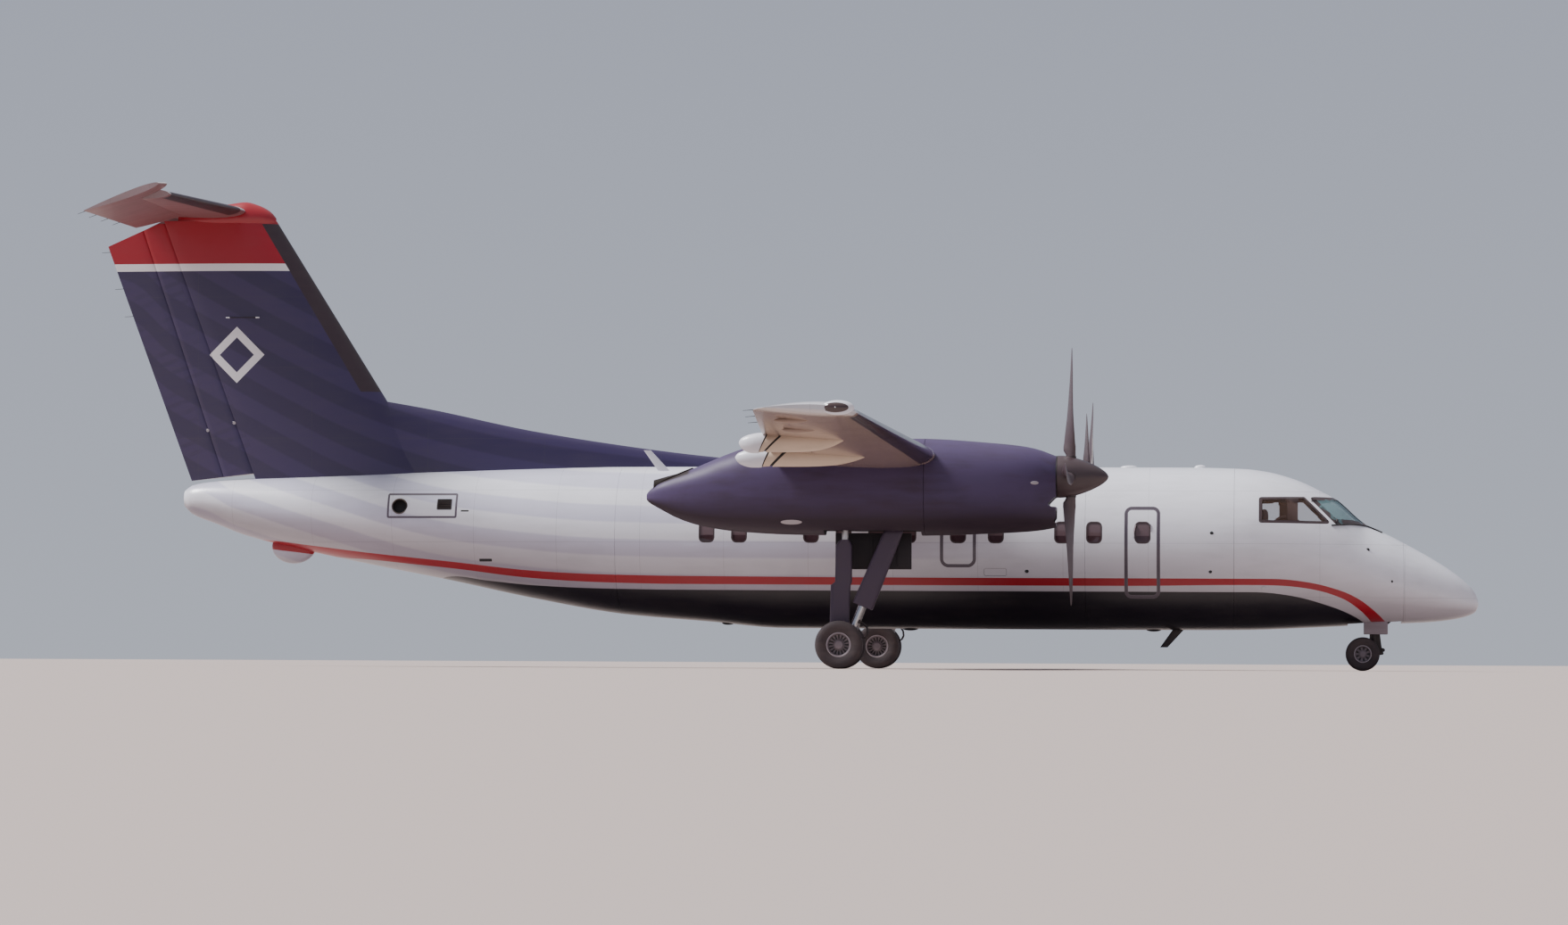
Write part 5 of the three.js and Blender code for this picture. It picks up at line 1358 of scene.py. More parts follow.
def buildWingCentre():
    end = (wing["joint"] - 0.008, "full")
    rings = wingRings(-1, [end, (0.0, "full")]) + wingRings(1, [end])
    bm = markChord(loft(rings), wingSection, 1)
    finishPiece("wingCentreSkin", bm, "tan", stands=["wing_centre"])
    bm = ovalBody(fairCurve(fairing["rows"]), between(fairing["to"], fairing["from"], 34))
    finishPiece("wingFairing", bm, "hull")


# nacelles: station X, top, bottom, half width, height of the widest point
nacelle = {
    "front": [(4.56, 3.28, 2.195, 0.335, 2.8), (4.535, 3.29, 2.18, 0.35, 2.8),
              (4.24, 3.395, 2.13, 0.45, 2.79), (3.96, 3.445, 2.108, 0.51, 2.78),
              (3.41, 3.495, 2.082, 0.565, 2.77), (2.86, 3.535, 2.062, 0.59, 2.76),
              (2.55, 3.547, 2.055, 0.595, 2.755)],
    "rear": [(2.55, 3.547, 2.055, 0.595, 2.755), (1.8, 3.548, 2.056, 0.595, 2.756),
             (0.9, 3.49, 2.058, 0.594, 2.755), (0.3, 3.47, 2.07, 0.575, 2.76),
             (-0.08, 3.44, 2.09, 0.55, 2.765), (-0.45, 3.33, 2.118, 0.5, 2.76),
             (-0.73, 3.215, 2.158, 0.45, 2.745), (-1.0, 3.1, 2.215, 0.385, 2.725),
             (-1.28, 2.99, 2.31, 0.3, 2.695), (-1.56, 2.865, 2.455, 0.19, 2.665),
             (-1.74, 2.73, 2.56, 0.08, 2.642), (-1.77, 2.69, 2.595, 0.045, 2.64)],
    "power": 2.5, "y": 3.935, "jointX": 2.55, "sides": 56,
    # intake: half width, lowest, highest, corner; well: its ends, half width, roof; slot: station, half sizes
    "intake": (0.245, 2.238, 2.452, 0.08), "well": (1.0, 2.5, 0.33, 2.9),
    "slot": (-1.36, 0.3, 0.105),
    "step": [(4.7, 2.66), (4.54, 2.645), (4.5, 2.605), (4.46, 2.567), (4.443, 2.54), (4.455, 2.515),
             (4.5, 2.497), (4.7, 2.49)],
    # the slot's lip: distance out from the slot's edge and up from the skin
    "lip": [(-0.008, -0.05), (0.008, -0.05), (0.01, 0.016), (0.0, 0.022), (-0.008, 0.014)],
    # exhaust pipe, out along its outside and back inside: station, share of its slope, wall
    "pipe": [(-1.0, 0.0, 0.0), (-1.2, 0.3, 0.0), (-1.4, 0.6, 0.0), (-1.55, 0.83, 0.0), (-1.66, 1.0, 0.002),
             (-1.656, 1.0, 0.01), (-1.5, 0.75, 0.014), (-1.25, 0.4, 0.014)],
    "pipeTop": 3.085, "pipeFall": 0.18, "pipeBottom": 2.6, "pipeHalf": 0.098, "pipeWidest": 0.11,
    # pale ovals on the outer side: station, height, half length, half height
    "vents": [(4.243, 2.857, 0.062, 0.027), (0.514, 2.247, 0.165, 0.036)],
}
nacelleFront, nacelleRear = fairCurve(nacelle["front"]), fairCurve(nacelle["rear"])


# the share of the full size that is left across a nacelle's section at a share of its height, or the reverse
def nacelleShare(part):
    return (1 - abs(part) ** nacelle["power"]) ** (1 / nacelle["power"])


def nacelleY(row, x, z):
    top, bottom, half, widest = row(x)
    return half * nacelleShare((z - widest) / (top - widest if z > widest else widest - bottom))


# opens the cowl over its whole width along an outline seen from the side, and closes it with a ribbon of faces
def chinStep(bm, middle):
    bmesh.ops.delete(bm, geom=cutRegion(bm, nacelle["step"], "y", 1, -100.0), context="FACES")
    edges = [edge for edge in bm.edges if edge.is_boundary]
    chains = [[e for e in edges if all(way * (v.co.y - middle) > 0 for v in e.verts)] for way in (1, -1)]
    bmesh.ops.bridge_loops(bm, edges=chains[0] + chains[1])


def buildNacelle(name, side):
    y = side * nacelle["y"]
    shape = {"centreY": y, "power": nacelle["power"], "sides": nacelle["sides"]}
    stations = [4.56, 4.552, 4.535] + between(4.47, nacelle["jointX"] + 0.003, 16)
    bm = ovalBody(nacelleFront, stations, **shape)
    chinStep(bm, y)
    half, low, high, radius = nacelle["intake"]
    mouth = cutRegion(bm, roundedCorners(y - half, y + half, low, high, radius), "x", 1, 4.3)
    rimmed(bm, mouth, 0.014, 1, depth=0.012)
    sink(bm, mouth, (-0.45, 0, 0), paint=2, wallPaint=2)
    finishPiece("nacelleFront_" + name, bm, ["navy", "boot", "dark"], stands=["nacelle_front_" + name])

    stations = between(nacelle["jointX"] - 0.003, -1.5, 26) + [-1.6, -1.69, -1.74, -1.765, -1.77]
    bm = ovalBody(nacelleRear, stations, **shape)
    x0, x1, half, roof = nacelle["well"]
    mouth = cutRegion(bm, [(x0, y - half), (x1, y - half), (x1, y + half), (x0, y + half)], "z", -1, 2.7)
    sink(bm, mouth, level=roof, axis="z", paint=1, wallPaint=1)
    x, along, across = nacelle["slot"]
    oval = [(x + along * cos(a), y + across * sin(a)) for a in between(0, 2 * pi, 24)[:-1]]
    sink(bm, cutRegion(bm, oval, "z", 1, 2.7), (0.02, 0, -0.16), paint=2, wallPaint=2)
    finishPiece("nacelleRear_" + name, bm, ["navy", "dark", "hot"], stands=["nacelle_rear_" + name])

    rings = []
    for a in between(0, 2 * pi, 32)[:-1]:
        out = Vector((along * cos(a), across * sin(a), 0))
        top, bottom, wide, widest = nacelleRear(x + out.x)
        edge = Vector((x, y, widest + (top - widest) * nacelleShare(out.y / wide))) + out
        rings.append([edge + out.normalized() * r + Vector((0, 0, h)) for r, h in nacelle["lip"]])
    bm = loft(rings + rings[:1], closed=(False, False))
    finishPiece("exhaustLip_" + name, bm, "soot")

    bm = bmesh.new()
    for (x, z, halfX, halfZ), row in zip(nacelle["vents"], (nacelleFront, nacelleRear)):
        for vert in bmesh.ops.create_uvsphere(bm, u_segments=24, v_segments=12, radius=1.0)["verts"]:
            x1, z1 = x + vert.co.x * halfX, z + vert.co.z * halfZ
            vert.co = (x1, y + side * (nacelleY(row, x1, z1) + vert.co.y * 0.006), z1)
    finishPiece("nacelleVents_" + name, bm, "flange")

    rings = []
    for x, share, wall in nacelle["pipe"]:
        top = nacelle["pipeTop"] - nacelle["pipeFall"] * share
        row = (top - wall, nacelle["pipeBottom"] + wall, nacelle["pipeHalf"] - wall, top - nacelle["pipeWidest"])
        rings.append(ovalRing(x, row, y, sides=28))
    finishPiece("exhaustPipe_" + name, loft(rings), "soot")


# fin: height, leading edge, rudder hinge, second hinge and trailing edge along X
fin = {
    "rows": [(2.9, -5.607, -8.628, -9.142, -9.666), (7.25, -8.335, -10.224, -10.614, -11.2768)],
    "thick": 0.11, "ridge": [(-0.3, 3.335, 0.065), (-1.15, 3.412, 0.075), (-2.02, 3.512, 0.085),
                             (-4.06, 3.822, 0.11), (-5.82, 4.192, 0.14), (-6.9, 4.38, 0.15)],
    "footGap": 0.075, "footX": (-8.74, -9.69), "topZ": 7.208, "slope": ((-10.27, 7.208), (-11.125, 6.84)),
    "rod": (-9.085, -8.614, 5.666), "wicks": (6.75, 6.15, 5.7),
    "hinges": [("first", 3.95), ("second", 3.83)],
}


def finSection(height):
    low, high = fin["rows"]
    t = (height - low[0]) / (high[0] - low[0])
    lead, first, second, trail = (a + (b - a) * t for a, b in zip(low[1:], high[1:]))
    chord = lead - trail
    return {"lead": lead, "chord": chord, "depth": fin["thick"] * chord, "first": (lead - first) / chord,
            "second": (lead - second) / chord}


def onFin(height):
    section = finSection(height)
    return section, lambda u, v: (section["lead"] - u, v, height)


def trimRudder(bm):
    (x0, z0), (x1, z1) = fin["slope"]
    ahead, behind = fin["footX"]
    high, low = hullRow(ahead)[0], hullRow(behind)[0]
    for place, normal in (((0, 0, fin["topZ"]), (0, 0, 1)), ((x0, 0, z0), (z1 - z0, 0, x0 - x1)),
                          ((ahead, 0, high + fin["footGap"]), (high - low, 0, behind - ahead))):
        splitAt(bm, place, normal, drop=True)


def buildFin():
    heights = between(2.9, 7.25, 6)
    bm = loft([surfaceRing(*onFin(height), "cove", finSection(height)["first"]) for height in heights])
    finishPiece("finSkin", markChord(bm, finSection, 2), "fin", stands=["fin"])

    row = fairCurve(fin["ridge"])
    rings = []
    for x in between(-6.9, -0.31, 26):
        top, half = row(x)
        rings.append(ovalRing(x, (top, 2.95, half, 3.05), sides=32))
    # a far leading edge keeps the boot off the ridge
    bm = markChord(loft(rings), lambda height: {"lead": 40.0, "chord": 100.0}, 2)
    finishPiece("dorsalRidge", bm, "fin")

    for body, first, last in (("rudder_fore", "first", "second"), ("rudder_trailing", "second", None)):
        bm = loft([rudderRing(*onFin(height), first, last) for height in heights])
        trimRudder(bm)
        finishPiece(body + "Skin", markChord(bm, finSection, 2), "fin", body=body, stands=[body])


def buildTailDetails():
    bm, tips = bmesh.new(), bmesh.new()
    x0, x1, z = fin["rod"]
    section = finSection(z)
    for side in (1, -1):
        ends = [Vector((x, side * (halfDepth(section, (section["lead"] - x) / section["chord"]) + 0.035), z))
                for x in (x0, x1)]
        bar(bm, ends[0], ends[1], 0.007, sides=12, bevel=0.001)
        for end, way in zip(ends, (-1, 1)):
            bar(tips, end - Vector((way * 0.02, 0, 0)), end + Vector((way * 0.045, 0, 0)), 0.014, 0.01, 14)
            bar(tips, end, end - Vector((0, side * 0.045, 0)), 0.01, sides=12)
    finishPiece("finAerial", bm, "gearDark")
    finishPiece("finAerialEnds", tips, "white")
    bm = bmesh.new()
    for key, height in fin["hinges"]:
        section, place = onFin(height)
        share = section[key] - 0.006
        x, y, z = place(share * section["chord"], halfDepth(section, share))
        for side in (1, -1):
            bar(bm, (x, side * (y - 0.004), z), (x, side * (y + 0.008), z), 0.026, sides=18, bevel=0.003)
    finishPiece("rudderHinges", bm, "flange")
    bm = bmesh.new()
    for height in fin["wicks"]:
        section, place = onFin(height)
        wick(bm, place(section["chord"] - 0.01, 0), 0.15, 0.01)
    finishPiece("rudderWicks", bm, "dark", body="rudder_trailing")


# round nose in front, and a hollow or a sharp edge behind
def rudderRing(section, place, first, last):
    start = section[first]
    if last is None:
        return flapRing(section, place, start)
    stop = section[last]
    radius = halfDepth(section, stop) + wing["clear"]
    shares = between(stop - radius * 0.5 / section["chord"], start, 6)
    upper = [skinPoint(section, s, 1) for s in shares]
    lower = [skinPoint(section, s, -1) for s in reversed(shares)]
    centre, size = start * section["chord"], halfDepth(section, start)
    front = [(centre - size * sin(a), size * cos(a)) for a in between(0.0, pi, 16)[1:-1]]
    hinge = stop * section["chord"]
    reach = asin(min(1.0, halfDepth(section, stop) / radius))
    back = [(hinge - radius * cos(a), -radius * sin(a)) for a in between(reach, -reach, 10)]
    return [place(u, v) for u, v in upper + front + lower + back]


tailplane = {
    "rows": [(0.0, -8.775, 1.865, 0.214), (3.6, -9.38, 1.32, 0.152), (3.96, -9.45, 1.262, 0.107)],
    "z": 7.4, "hingeX": -9.85, "span": (0.33, 3.6), "horn": (3.612, 3.96), "droop": 20.0,
    "wicks": (1.5, 2.3, 3.1, 3.85),
    "cap": [(-9.95, 7.42, 7.15, 0.11, 7.26), (-9.5, 7.49, 7.15, 0.17, 7.27), (-9.14, 7.53, 7.15, 0.19, 7.28),
            (-8.85, 7.565, 7.15, 0.19, 7.3), (-8.63, 7.51, 7.15, 0.165, 7.3), (-8.43, 7.4, 7.15, 0.11, 7.28),
            (-8.345, 7.3, 7.15, 0.04, 7.25)],
}


def tailSection(span):
    rows = tailplane["rows"]
    k = 0 if span < rows[1][0] else 1
    t = min(1.0, (span - rows[k][0]) / (rows[k + 1][0] - rows[k][0]))
    lead, chord, depth = (a + (b - a) * t for a, b in zip(rows[k][1:], rows[k + 1][1:]))
    return {"lead": lead, "chord": chord, "depth": depth, "hinge": (lead - tailplane["hingeX"]) / chord}


def onTail(span, side):
    section = tailSection(span)
    return section, lambda u, v: (section["lead"] - u, side * span, tailplane["z"] + v)


def buildTailplane():
    inner, outer = tailplane["span"]
    root = inner - 0.012
    stations = [(-1, outer, "cove"), (-1, root, "cove"), (-1, root, "full"),
                (1, root, "full"), (1, root, "cove"), (1, outer, "cove")]
    bm = loft([surfaceRing(*onTail(span, side), kind, tailSection(span)["hinge"] if kind == "cove" else None)
               for side, span, kind in stations])
    finishPiece("tailplaneSkin", markChord(bm, tailSection, 1), "tail", stands=["tailplane"])
    bm = ovalBody(fairCurve(tailplane["cap"]), between(-8.345, -9.95, 30), sides=40)
    finishPiece("tailCap", bm, "cap")

    hornIn, hornOut = tailplane["horn"]
    turn = Matrix.Rotation(radians(-tailplane["droop"]), 3, "Y")
    stations = [(inner, "round"), (hornIn - 0.003, "round"), (hornIn, "horn"), (3.78, "horn"), (3.9, "horn"),
                (hornOut, "horn")]
    for name, side in sides.items():
        skin = loft([flapRing(*onTail(span, side), tailSection(span)["hinge"], kind) for span, kind in stations])
        markChord(skin, tailSection, 1)
        wicks = bmesh.new()
        for span in tailplane["wicks"]:
            section, place = onTail(span, side)
            wick(wicks, place(section["chord"] - 0.01, 0.0), 0.14)
        for bm in (skin, wicks):
            bmesh.ops.rotate(bm, cent=(tailplane["hingeX"], 0, tailplane["z"]), matrix=turn, verts=bm.verts)
        body = "elevator_" + name
        finishPiece("elevatorSkin_" + name, skin, "tail", body=body, stands=[body])
        finishPiece("elevatorWicks_" + name, wicks, "dark", body=body)


propeller = {
    # radius, chord, thickness, angle to the plane of rotation, shift along X
    "rows": [(0.11, 0.13, 0.13, 58, 0.0), (0.2, 0.132, 0.128, 58, -0.002), (0.32, 0.16, 0.106, 58, -0.008),
             (0.4, 0.215, 0.084, 60, -0.032), (0.54, 0.255, 0.062, 41, -0.032), (0.88, 0.325, 0.042, 20, -0.026),
             (1.28, 0.33, 0.03, 12, -0.016), (1.64, 0.29, 0.022, 8, -0.006), (1.87, 0.21, 0.014, 6, -0.002),
             (1.945, 0.15, 0.011, 5.4, -0.001), (1.98, 0.08, 0.008, 5, 0.0)],
    "x": 4.79, "z": 2.965, "y": 3.935, "phase": {"left": 51.5, "right": 0}, "blades": 4, "sides": 28,
    "spinnerX": 4.578, "spinnerTip": 0.79, "spinnerEnd": 0.782,
    "spinner": [(0.0, 0.325), (0.02, 0.3255), (0.1, 0.322), (0.27, 0.29), (0.49, 0.215), (0.69, 0.11),
                (0.762, 0.045), (0.782, 0.004)],
}


def bladeRing(radius, row, turn, y):
    chord, thick, pitch, shift = row
    angle = radians(pitch)
    blend = min(1.0, max(0.0, (radius - 0.25) / 0.35))
    ring = []
    for t in between(0, 2 * pi, propeller["sides"])[:-1]:
        u = cos(t) * chord / 2
        v = sin(t) * thick / 2 * (1 + blend * 0.35 * cos(t))
        across = Vector((shift + u * sin(angle) + v * cos(angle),
                         -u * cos(angle) + v * sin(angle), radius))
        across.rotate(Matrix.Rotation(turn, 3, "X"))
        ring.append(across + Vector((propeller["x"], y, propeller["z"])))
    return ring


def buildPropeller(name, side):
    y, z = side * propeller["y"], propeller["z"]
    body = "propeller_" + name
    row = fairCurve(propeller["rows"])
    bm, boots = bmesh.new(), bmesh.new()
    for k in range(propeller["blades"]):
        turn = radians(propeller["phase"][name] + 90 * k)
        stations = between(0.11, 1.87, 30) + [1.9, 1.925, 1.945, 1.96, 1.972, 1.98]
        loft([bladeRing(r, row(r), turn, y) for r in stations], bm)
        rings = []
        for radius in between(0.285, 0.315, 3):
            chord, thick, pitch, shift = row(radius)
            rings.append(bladeRing(radius, (chord + 0.016, thick + 0.016, pitch, shift), turn, y))
        loft(rings, boots)
    bar(bm, (4.6, y, z), (4.905, y, z), 0.15)
    finishPiece("blades_" + name, bm, "prop", body=body, stands=["propeller_" + name])
    finishPiece("bladeCollars_" + name, boots, "gearDark", body=body)

    tip, end = propeller["spinnerTip"], propeller["spinnerEnd"]
    curve = fairCurve(propeller["spinner"], lambda d: -sqrt(tip - d))
    along = [max(0.0, tip - s * s) for s in between(sqrt(tip), sqrt(tip - end), 30)]
    profile = [(0.0, 0.0)] + [(curve(d)[0], d) for d in along] + [(0.0, end + 0.0002)]
    seal = [(0.15, -0.03), (0.321, -0.03), (0.321, -0.006), (0.15, -0.006), (0.15, -0.03)]
    at = (propeller["spinnerX"], y, z)
    finishPiece("spinnerShell_" + name, spun(bmesh.new(), profile, at, (1, 0, 0), 56), ["spinner"], body=body,
                stands=["spinner_" + name])
    finishPiece("cowlSeal_" + name, spun(bmesh.new(), seal, at, (1, 0, 0), 56), "dark")


wheels = {
    "main": {"radius": 0.37, "width": 0.265, "spacing": 0.255, "axle": 0.044, "slots": 16},
    "nose": {"radius": 0.27, "width": 0.165, "spacing": 0.165, "axle": 0.03, "slots": 9},
    # share of the radius, share of the width, from the bead to the middle of the tread
    "tyre": [(0.51, 0.3), (0.52, 0.4), (0.59, 0.455), (0.7, 0.492), (0.8, 0.499), (0.88, 0.48),
             (0.935, 0.43), (0.968, 0.36), (0.988, 0.292), (0.99, 0.284), (0.972, 0.28), (0.972, 0.262),
             (0.993, 0.257), (0.999, 0.12), (0.997, 0.112), (0.975, 0.108), (0.975, 0.088), (0.998, 0.082),
             (1.0, 0.0)],
}


def buildWheels(body, spec, x, y, tyres, rimNode):
    half = [(r * spec["radius"], d * spec["width"]) for r, d in wheels["tyre"]]
    loop = half + [(r, -d) for r, d in reversed(half[:-1])] + [half[0]]
    z = spec["radius"]
    for way, node in zip((1, -1), tyres):
        bm = spun(bmesh.new(), loop, (x, y + way * spec["spacing"], z), (0, 1, 0), 64)
        finishPiece(node + "Rubber", bm, "tyre", body=body, stands=[node], sharp=50)
    seat, edge, hub = 0.515 * spec["radius"], 0.4 * spec["width"], spec["axle"] + 0.02
    bm, dark = bmesh.new(), bmesh.new()
    for way in (1, -1):
        at = (x, y + way * spec["spacing"], z)
        profile = [(0, edge * 0.8), (hub * 0.55, edge * 0.82), (hub, edge * 0.76), (hub * 1.05, edge * 0.32),
                   (seat * 0.55, edge * 0.22), (seat * 0.8, edge * 0.34), (seat * 0.86, edge * 0.92),
                   (seat * 0.93, edge), (seat, edge * 0.98), (seat * 0.99, edge * 0.8), (seat * 0.96, 0),
                   (seat * 0.99, -edge * 0.8), (seat, -edge * 0.98), (seat * 0.88, -edge),
                   (seat * 0.84, -edge * 0.5), (hub * 1.2, -edge * 0.45), (hub, -edge * 0.7), (0, -edge * 0.7)]
        spun(bm, profile, at, (0, way, 0), 48)
        # painted shade: dark strips laid on the wheel's disc where its slots open
        wide = seat * sin(pi / spec["slots"])
        up = Vector((0, way * 0.004, 0))
        for angle in between(0, 2 * pi, spec["slots"])[:-1]:
            aim = Vector((cos(angle), 0, sin(angle)))
            base = Vector(at) + Vector((0, way * edge * 0.245, 0))
            rings = []
            for reach, lift in ((0.4, 0.03), (0.6, 0.0), (0.8, 0.1)):
                aside = Vector((-aim.z, 0, aim.x)) * wide * reach * 0.46
                p = base + aim * seat * reach + Vector((0, way * edge * lift, 0))
                rings.append([p - aside - up, p + aside - up, p + aside + up, p - aside + up])
            loft(rings, dark)
            nut = Vector(at) + aim * (hub + seat * 0.1) + Vector((0, way * edge * 0.26, 0))
            bar(bm, nut, nut + Vector((0, way * 0.012, 0)), 0.008, sides=6, bevel=0.001)
    bar(bm, (x, y - spec["spacing"], z), (x, y + spec["spacing"], z), spec["axle"])
    for face in bm.faces:
        spot = face.calc_center_median()
        if hypot(spot.x - x, spot.z - z) > seat * 0.9:
            face.material_index = 1
    finishPiece(rimNode + "Rims", bm, ["rim", "flange"], body=body, stands=[rimNode])
    finishPiece(rimNode + "SlotShades", dark, "dark", body=body, slot="inside")


gear = {
    "x": 1.58, "z": 0.96, "slant": 0.41, "y": 3.935, "axleX": 1.24,
    # strut cover: half sizes, then height and share of the size at each station
    "cover": (0.152, 0.085),
    "coverRows": [(0.962, 0.9), (0.968, 0.97), (0.985, 1.0), (2.08, 1.0), (2.115, 0.97), (2.13, 0.88)],
    "topBlock": ((2.24, -0.15, 2.78), (2.44, 0.15, 2.898), 0.015),
    # bars: ends with Y from the leg's middle, radius, radius at the far end, sides, bevel
    "boss": [(0.42, 0.07, 0.8), (0.5, 0.085, 1.0), (0.655, 0.09, 1.0), (0.688, 0.084, 0.95)],
    "forging": [((1.24, -0.072, 0.37), (1.24, 0.072, 0.37), 0.092, None, 36, 0.01),
                ((1.27, 0, 0.38), (1.445, 0, 0.62), 0.062, 0.066, 28),
                ((1.2, -0.082, 0.63), (1.2, 0.082, 0.63), 0.028, None, 24),
                ((1.435, -0.088, 0.635), (1.435, 0.088, 0.635), 0.026, None, 24)],
    "cheek": ((1.2, 0.038, 0.575), (1.44, 0.062, 0.632), 0.006),
    "axleEnd": ((1.24, 0.072, 0.37), (1.24, 0.118, 0.37), 0.075, 0.06, 32),
    # drag strut: height, station and half length; its half width; its link and the pipes by it
    "brace": [(0.692, 1.225, 0.15), (1.29, 1.242, 0.152), (1.34, 1.285, 0.13), (1.9, 1.29, 0.125),
              (1.96, 1.3, 0.095), (1.99, 1.305, 0.06)], "braceHalf": 0.062,
    "link": ((1.31, 0, 1.93), (1.31, 0, 2.898), 0.042, None, 28),
    "pipes": [((1.31, 0, 1.985), (1.31, 0, 2.3), 0.05, None, 28),
              ((1.24, 0, 2.17), (2.02, 0, 2.2), 0.024, None, 16)],
    "hose": [(1.52, 0.03, 0.73), (1.6, 0.045, 0.7), (1.655, 0.055, 0.63), (1.665, 0.062, 0.55),
             (1.63, 0.065, 0.485), (1.57, 0.062, 0.47), (1.515, 0.055, 0.5), (1.47, 0.045, 0.56)],
    "hoseBlock": ((1.47, -0.06, 0.7), (1.56, 0.06, 0.76), 0.01),
    # door: distance in from the leg, leaf, and the stations of its ribs and hinges
    "doorIn": 0.345, "leaf": ((1.13, -0.012, 1.54), (2.31, 0.012, 2.1), 0.008), "doorRibs": (1.3, 1.7, 2.1),
}


def strutAt(z, y):
    return Vector((gear["x"] + gear["slant"] * (z - gear["z"]), y, z))


def postRing(x, y, z, halfX, halfY):
    return [(x + across * halfX, y + along * halfY, z) for across, along in unitOval(5.0, 32)]


def buildMainGear(name, side):
    y = side * gear["y"]
    halfX, halfY = gear["cover"]
    rings = []
    for z, f in gear["coverRows"]:
        middle = strutAt(z, y).x
        ring = postRing(middle, y, z, halfX * f, halfY * f)
        if z < 1.0:
            ring = [(px, py, pz - gear["slant"] * (px - middle)) for px, py, pz in ring]
        rings.append(ring)
    bm = loft(rings)
    bar(bm, strutAt(1.9, y), strutAt(2.86, y), 0.08, sides=32)
    slabs(bm, [gear["topBlock"]], y)
    finishPiece("strutCover_" + name, bm, "gearNavy", stands=["main_strut_" + name])

    bm = bar(bmesh.new(), strutAt(0.6, y), strutAt(0.975, y), 0.066, sides=36)
    finishPiece("strutPiston_" + name, bm, "oleo")
    bm = loft([postRing(1.2, y, height, half, 0.068 * f) for height, half, f in gear["boss"]])
    bars(bm, gear["forging"], y)
    bar(bm, strutAt(0.57, y), strutAt(0.66, y), 0.078, sides=32, bevel=0.01)
    for way in (-1, 1):
        slabs(bm, [gear["cheek"]], y, way)
        bars(bm, [gear["axleEnd"]], y, way)
    finishPiece("gearForging_" + name, bm, "gearGrey", stands=["main_piston_" + name])

    bm = loft([postRing(x, y, height, half, gear["braceHalf"]) for height, x, half in gear["brace"]])
    bars(bm, [gear["link"]], y)
    finishPiece("dragStrut_" + name, bm, "gearNavy", stands=["drag_strut_" + name])
    finishPiece("gearPipes_" + name, bars(bmesh.new(), gear["pipes"], y), "metal")

    bm = bmesh.new()
    for way in (-1, 1):
        tube(bm, [Vector((px, y + way * off, pz)) for px, off, pz in gear["hose"]], 0.012, 12, 0.003)
    slabs(bm, [gear["hoseBlock"]], y)
    finishPiece("brakeHoses_" + name, bm, "gearDark")

    inner = side * (gear["y"] - gear["doorIn"])
    bm = slabs(bmesh.new(), [gear["leaf"]], inner)
    for x in gear["doorRibs"]:
        outer = inner + side * 0.012
        slab(bm, (x - 0.02, outer - 0.012, 1.58), (x + 0.02, outer + 0.014, 2.06), 0.004)
        bar(bm, (x - 0.05, inner, 2.085), (x + 0.05, inner, 2.085), 0.018, sides=16)
    finishPiece("gearDoor_" + name, bm, "doorBlack", stands=["main_door_" + name])


noseGear = {
    # bars: ends, radius, radius at the far end, sides, bevel; the stays are one on each side
    "leg": [((9.47, 0, 0.6), (9.47, 0, 1.149), 0.072, None, 36),
            ((9.47, 0, 0.61), (9.47, 0, 0.69), 0.092, None, 36, 0.012),
            ((9.47, 0, 0.72), (9.84, 0, 1.1), 0.03), ((9.47, -0.1, 0.95), (9.47, 0.1, 0.95), 0.034, None, 24)],
    "stays": [((9.47, 0.085, 0.66), (9.62, 0.12, 0.7), 0.022, None, 16),
              ((9.62, 0.12, 0.7), (9.8, 0.16, 0.86), 0.014, None, 12)],
    "lamp": ((9.525, 0, 0.8), (9.595, 0, 0.8), 0.062, 0.068, 32),
    # fork: a boss by height, station and half length, then its bars, and side plates by X and Z
    "boss": [(0.395, 9.455, 0.075), (0.43, 9.465, 0.085), (0.452, 9.468, 0.07)],
    "fork": [((9.47, 0, 0.38), (9.47, 0, 0.599), 0.052, None, 32),
             ((9.46, 0, 0.42), (9.29, 0, 0.27), 0.05, 0.046, 28),
             ((9.29, -0.045, 0.27), (9.29, 0.045, 0.27), 0.062, None, 32, 0.008),
             ((9.44, 0, 0.4), (9.62, 0, 0.33), 0.034, 0.03),
             ((9.615, -0.05, 0.335), (9.615, 0.05, 0.335), 0.03, None, 24),
             ((9.61, 0, 0.34), (9.34, 0, 0.25), 0.026)],
    "plate": [(9.4, 0.585), (9.4, 0.42), (9.44, 0.3), (9.54, 0.25), (9.615, 0.262), (9.625, 0.285),
              (9.6, 0.33), (9.585, 0.43), (9.565, 0.585)], "plateY": (-0.042, -0.032, 0.032, 0.042),
    "axleX": 9.29, "door": ((9.31, 0.262, 0.585), (9.685, 0.286, 0.84), 0.008),
    "doorArms": [((x, 0.244, 0.66), (x, 0.224, 0.95), 0.01, None, 12) for x in (9.41, 9.585)],
}


def buildNoseGear():
    bm = bars(bmesh.new(), noseGear["leg"])
    for way in (-1, 1):
        bars(bm, noseGear["stays"], way=way)
    finishPiece("noseLeg", bm, "gearDark", stands=["nose_leg"])
    finishPiece("noseLamp", bar(bmesh.new(), *noseGear["lamp"]), "metal")

    bm = loft([postRing(x, 0, height, half, 0.044) for height, x, half in noseGear["boss"]])
    loft([[(px, y, pz) for px, pz in noseGear["plate"]] for y in noseGear["plateY"]], bm)
    bars(bm, noseGear["fork"])
    finishPiece("noseFork", bm, "gearDark", body="nose_steering", stands=["nose_fork"])

    bm = bmesh.new()
    for way in (-1, 1):
        slabs(bm, [noseGear["door"]], way=way)
        bars(bm, noseGear["doorArms"], way=way)
    finishPiece("noseDoors", bm, "doorGrey")


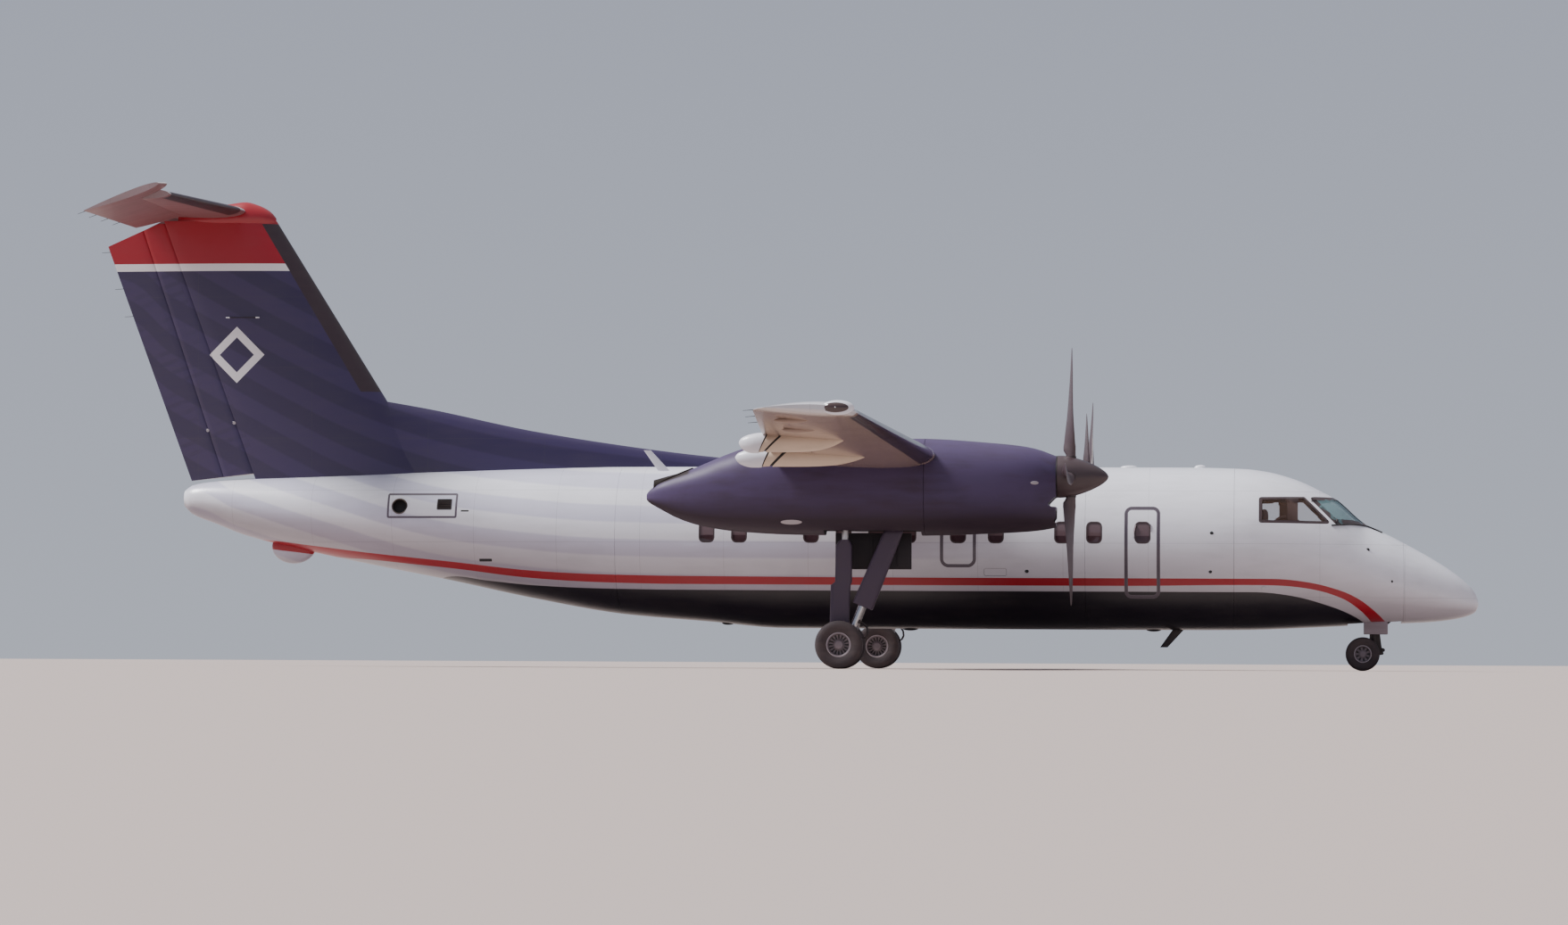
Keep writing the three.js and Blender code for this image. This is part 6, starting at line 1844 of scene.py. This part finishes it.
# build every piece
placeCamera(cameraView)
buildRadome()
buildCockpit()
buildCockpitInside()
buildPanel()
buildSeats()
print("cockpit ready")
buildFrontHull()
buildCentreHull()
buildRearHull()
buildHullDetails()
print("fuselage ready")
buildWingCentre()
for name, side in sides.items():
    buildWing(name, side)
    buildCanoes(name, side)
    buildWingDetails(name, side)
for name, side in sides.items():
    buildNacelle(name, side)
    buildPropeller(name, side)
print("wing, nacelles and propellers ready")
buildFin()
buildTailDetails()
buildTailplane()
print("tail ready")
for name, side in sides.items():
    prefix = "main_tyre_" + name
    buildWheels("main_wheels_" + name, wheels["main"], gear["axleX"], side * gear["y"],
                (prefix + "_port", prefix + "_starboard"), "main_wheels_" + name)
    buildMainGear(name, side)
buildWheels("nose_wheels", wheels["nose"], noseGear["axleX"], 0.0, ("nose_tyre_port", "nose_tyre_starboard"),
            "nose_wheels")
buildNoseGear()
print("landing gear ready")

for nodeName in ("engine_left", "engine_right"):
    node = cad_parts[nodeName]
    node.data.materials.clear()
    node.data.materials.append(finishes["hot"])


# pale floor and soft light
stage = {
    "floorHalf": 320.0, "floorColour": (0.44, 0.36, 0.33, 1),
    # rise above the horizon and colour of the backdrop
    "sky": [(0.0, (0.62, 0.66, 0.76, 1)), (0.16, (0.5, 0.54, 0.66, 1)), (0.3, (0.33, 0.34, 0.46, 1)),
            (0.6, (0.55, 0.57, 0.68, 1)), (1.0, (1.0, 1.0, 1.0, 1))],
    "skyPower": 0.78, "sun": {"power": 6.6, "angle": 20.0, "turn": (3.0, -38.0, 0.0)},
}


def buildStage():
    bm = bmesh.new()
    bmesh.ops.create_grid(bm, x_segments=1, y_segments=1, size=stage["floorHalf"])
    mesh = bpy.data.meshes.new("floor")
    bm.to_mesh(mesh)
    bm.free()
    floor = bpy.data.objects.new("floor", mesh)
    bpy.context.collection.objects.link(floor)
    material, tree, shader = newMaterial("floorPaint")
    shader.inputs["Base Color"].default_value = stage["floorColour"]
    shader.inputs["Roughness"].default_value = 0.85
    mesh.materials.append(material)
    world = bpy.data.worlds.new("studio")
    world.use_nodes = True
    background = world.node_tree.nodes["Background"]
    up = addNode(world.node_tree, "SeparateXYZ", {0: addNode(world.node_tree, "TexCoord").outputs["Generated"]})
    sky = addNode(world.node_tree, "ValToRGB", {"Fac": up.outputs[2]})
    ramp = sky.color_ramp
    for place, colour in stage["sky"][2:]:
        ramp.elements.new(place)
    for element, (place, colour) in zip(ramp.elements, stage["sky"]):
        element.position, element.color = place, colour
    world.node_tree.links.new(sky.outputs[0], background.inputs["Color"])
    background.inputs["Strength"].default_value = stage["skyPower"]
    bpy.context.scene.world = world
    sun = bpy.data.lights.new("softSun", "SUN")
    sun.energy = stage["sun"]["power"]
    sun.angle = radians(stage["sun"]["angle"])
    lamp = bpy.data.objects.new("softSun", sun)
    lamp.rotation_euler = [radians(a) for a in stage["sun"]["turn"]]
    bpy.context.collection.objects.link(lamp)


buildStage()
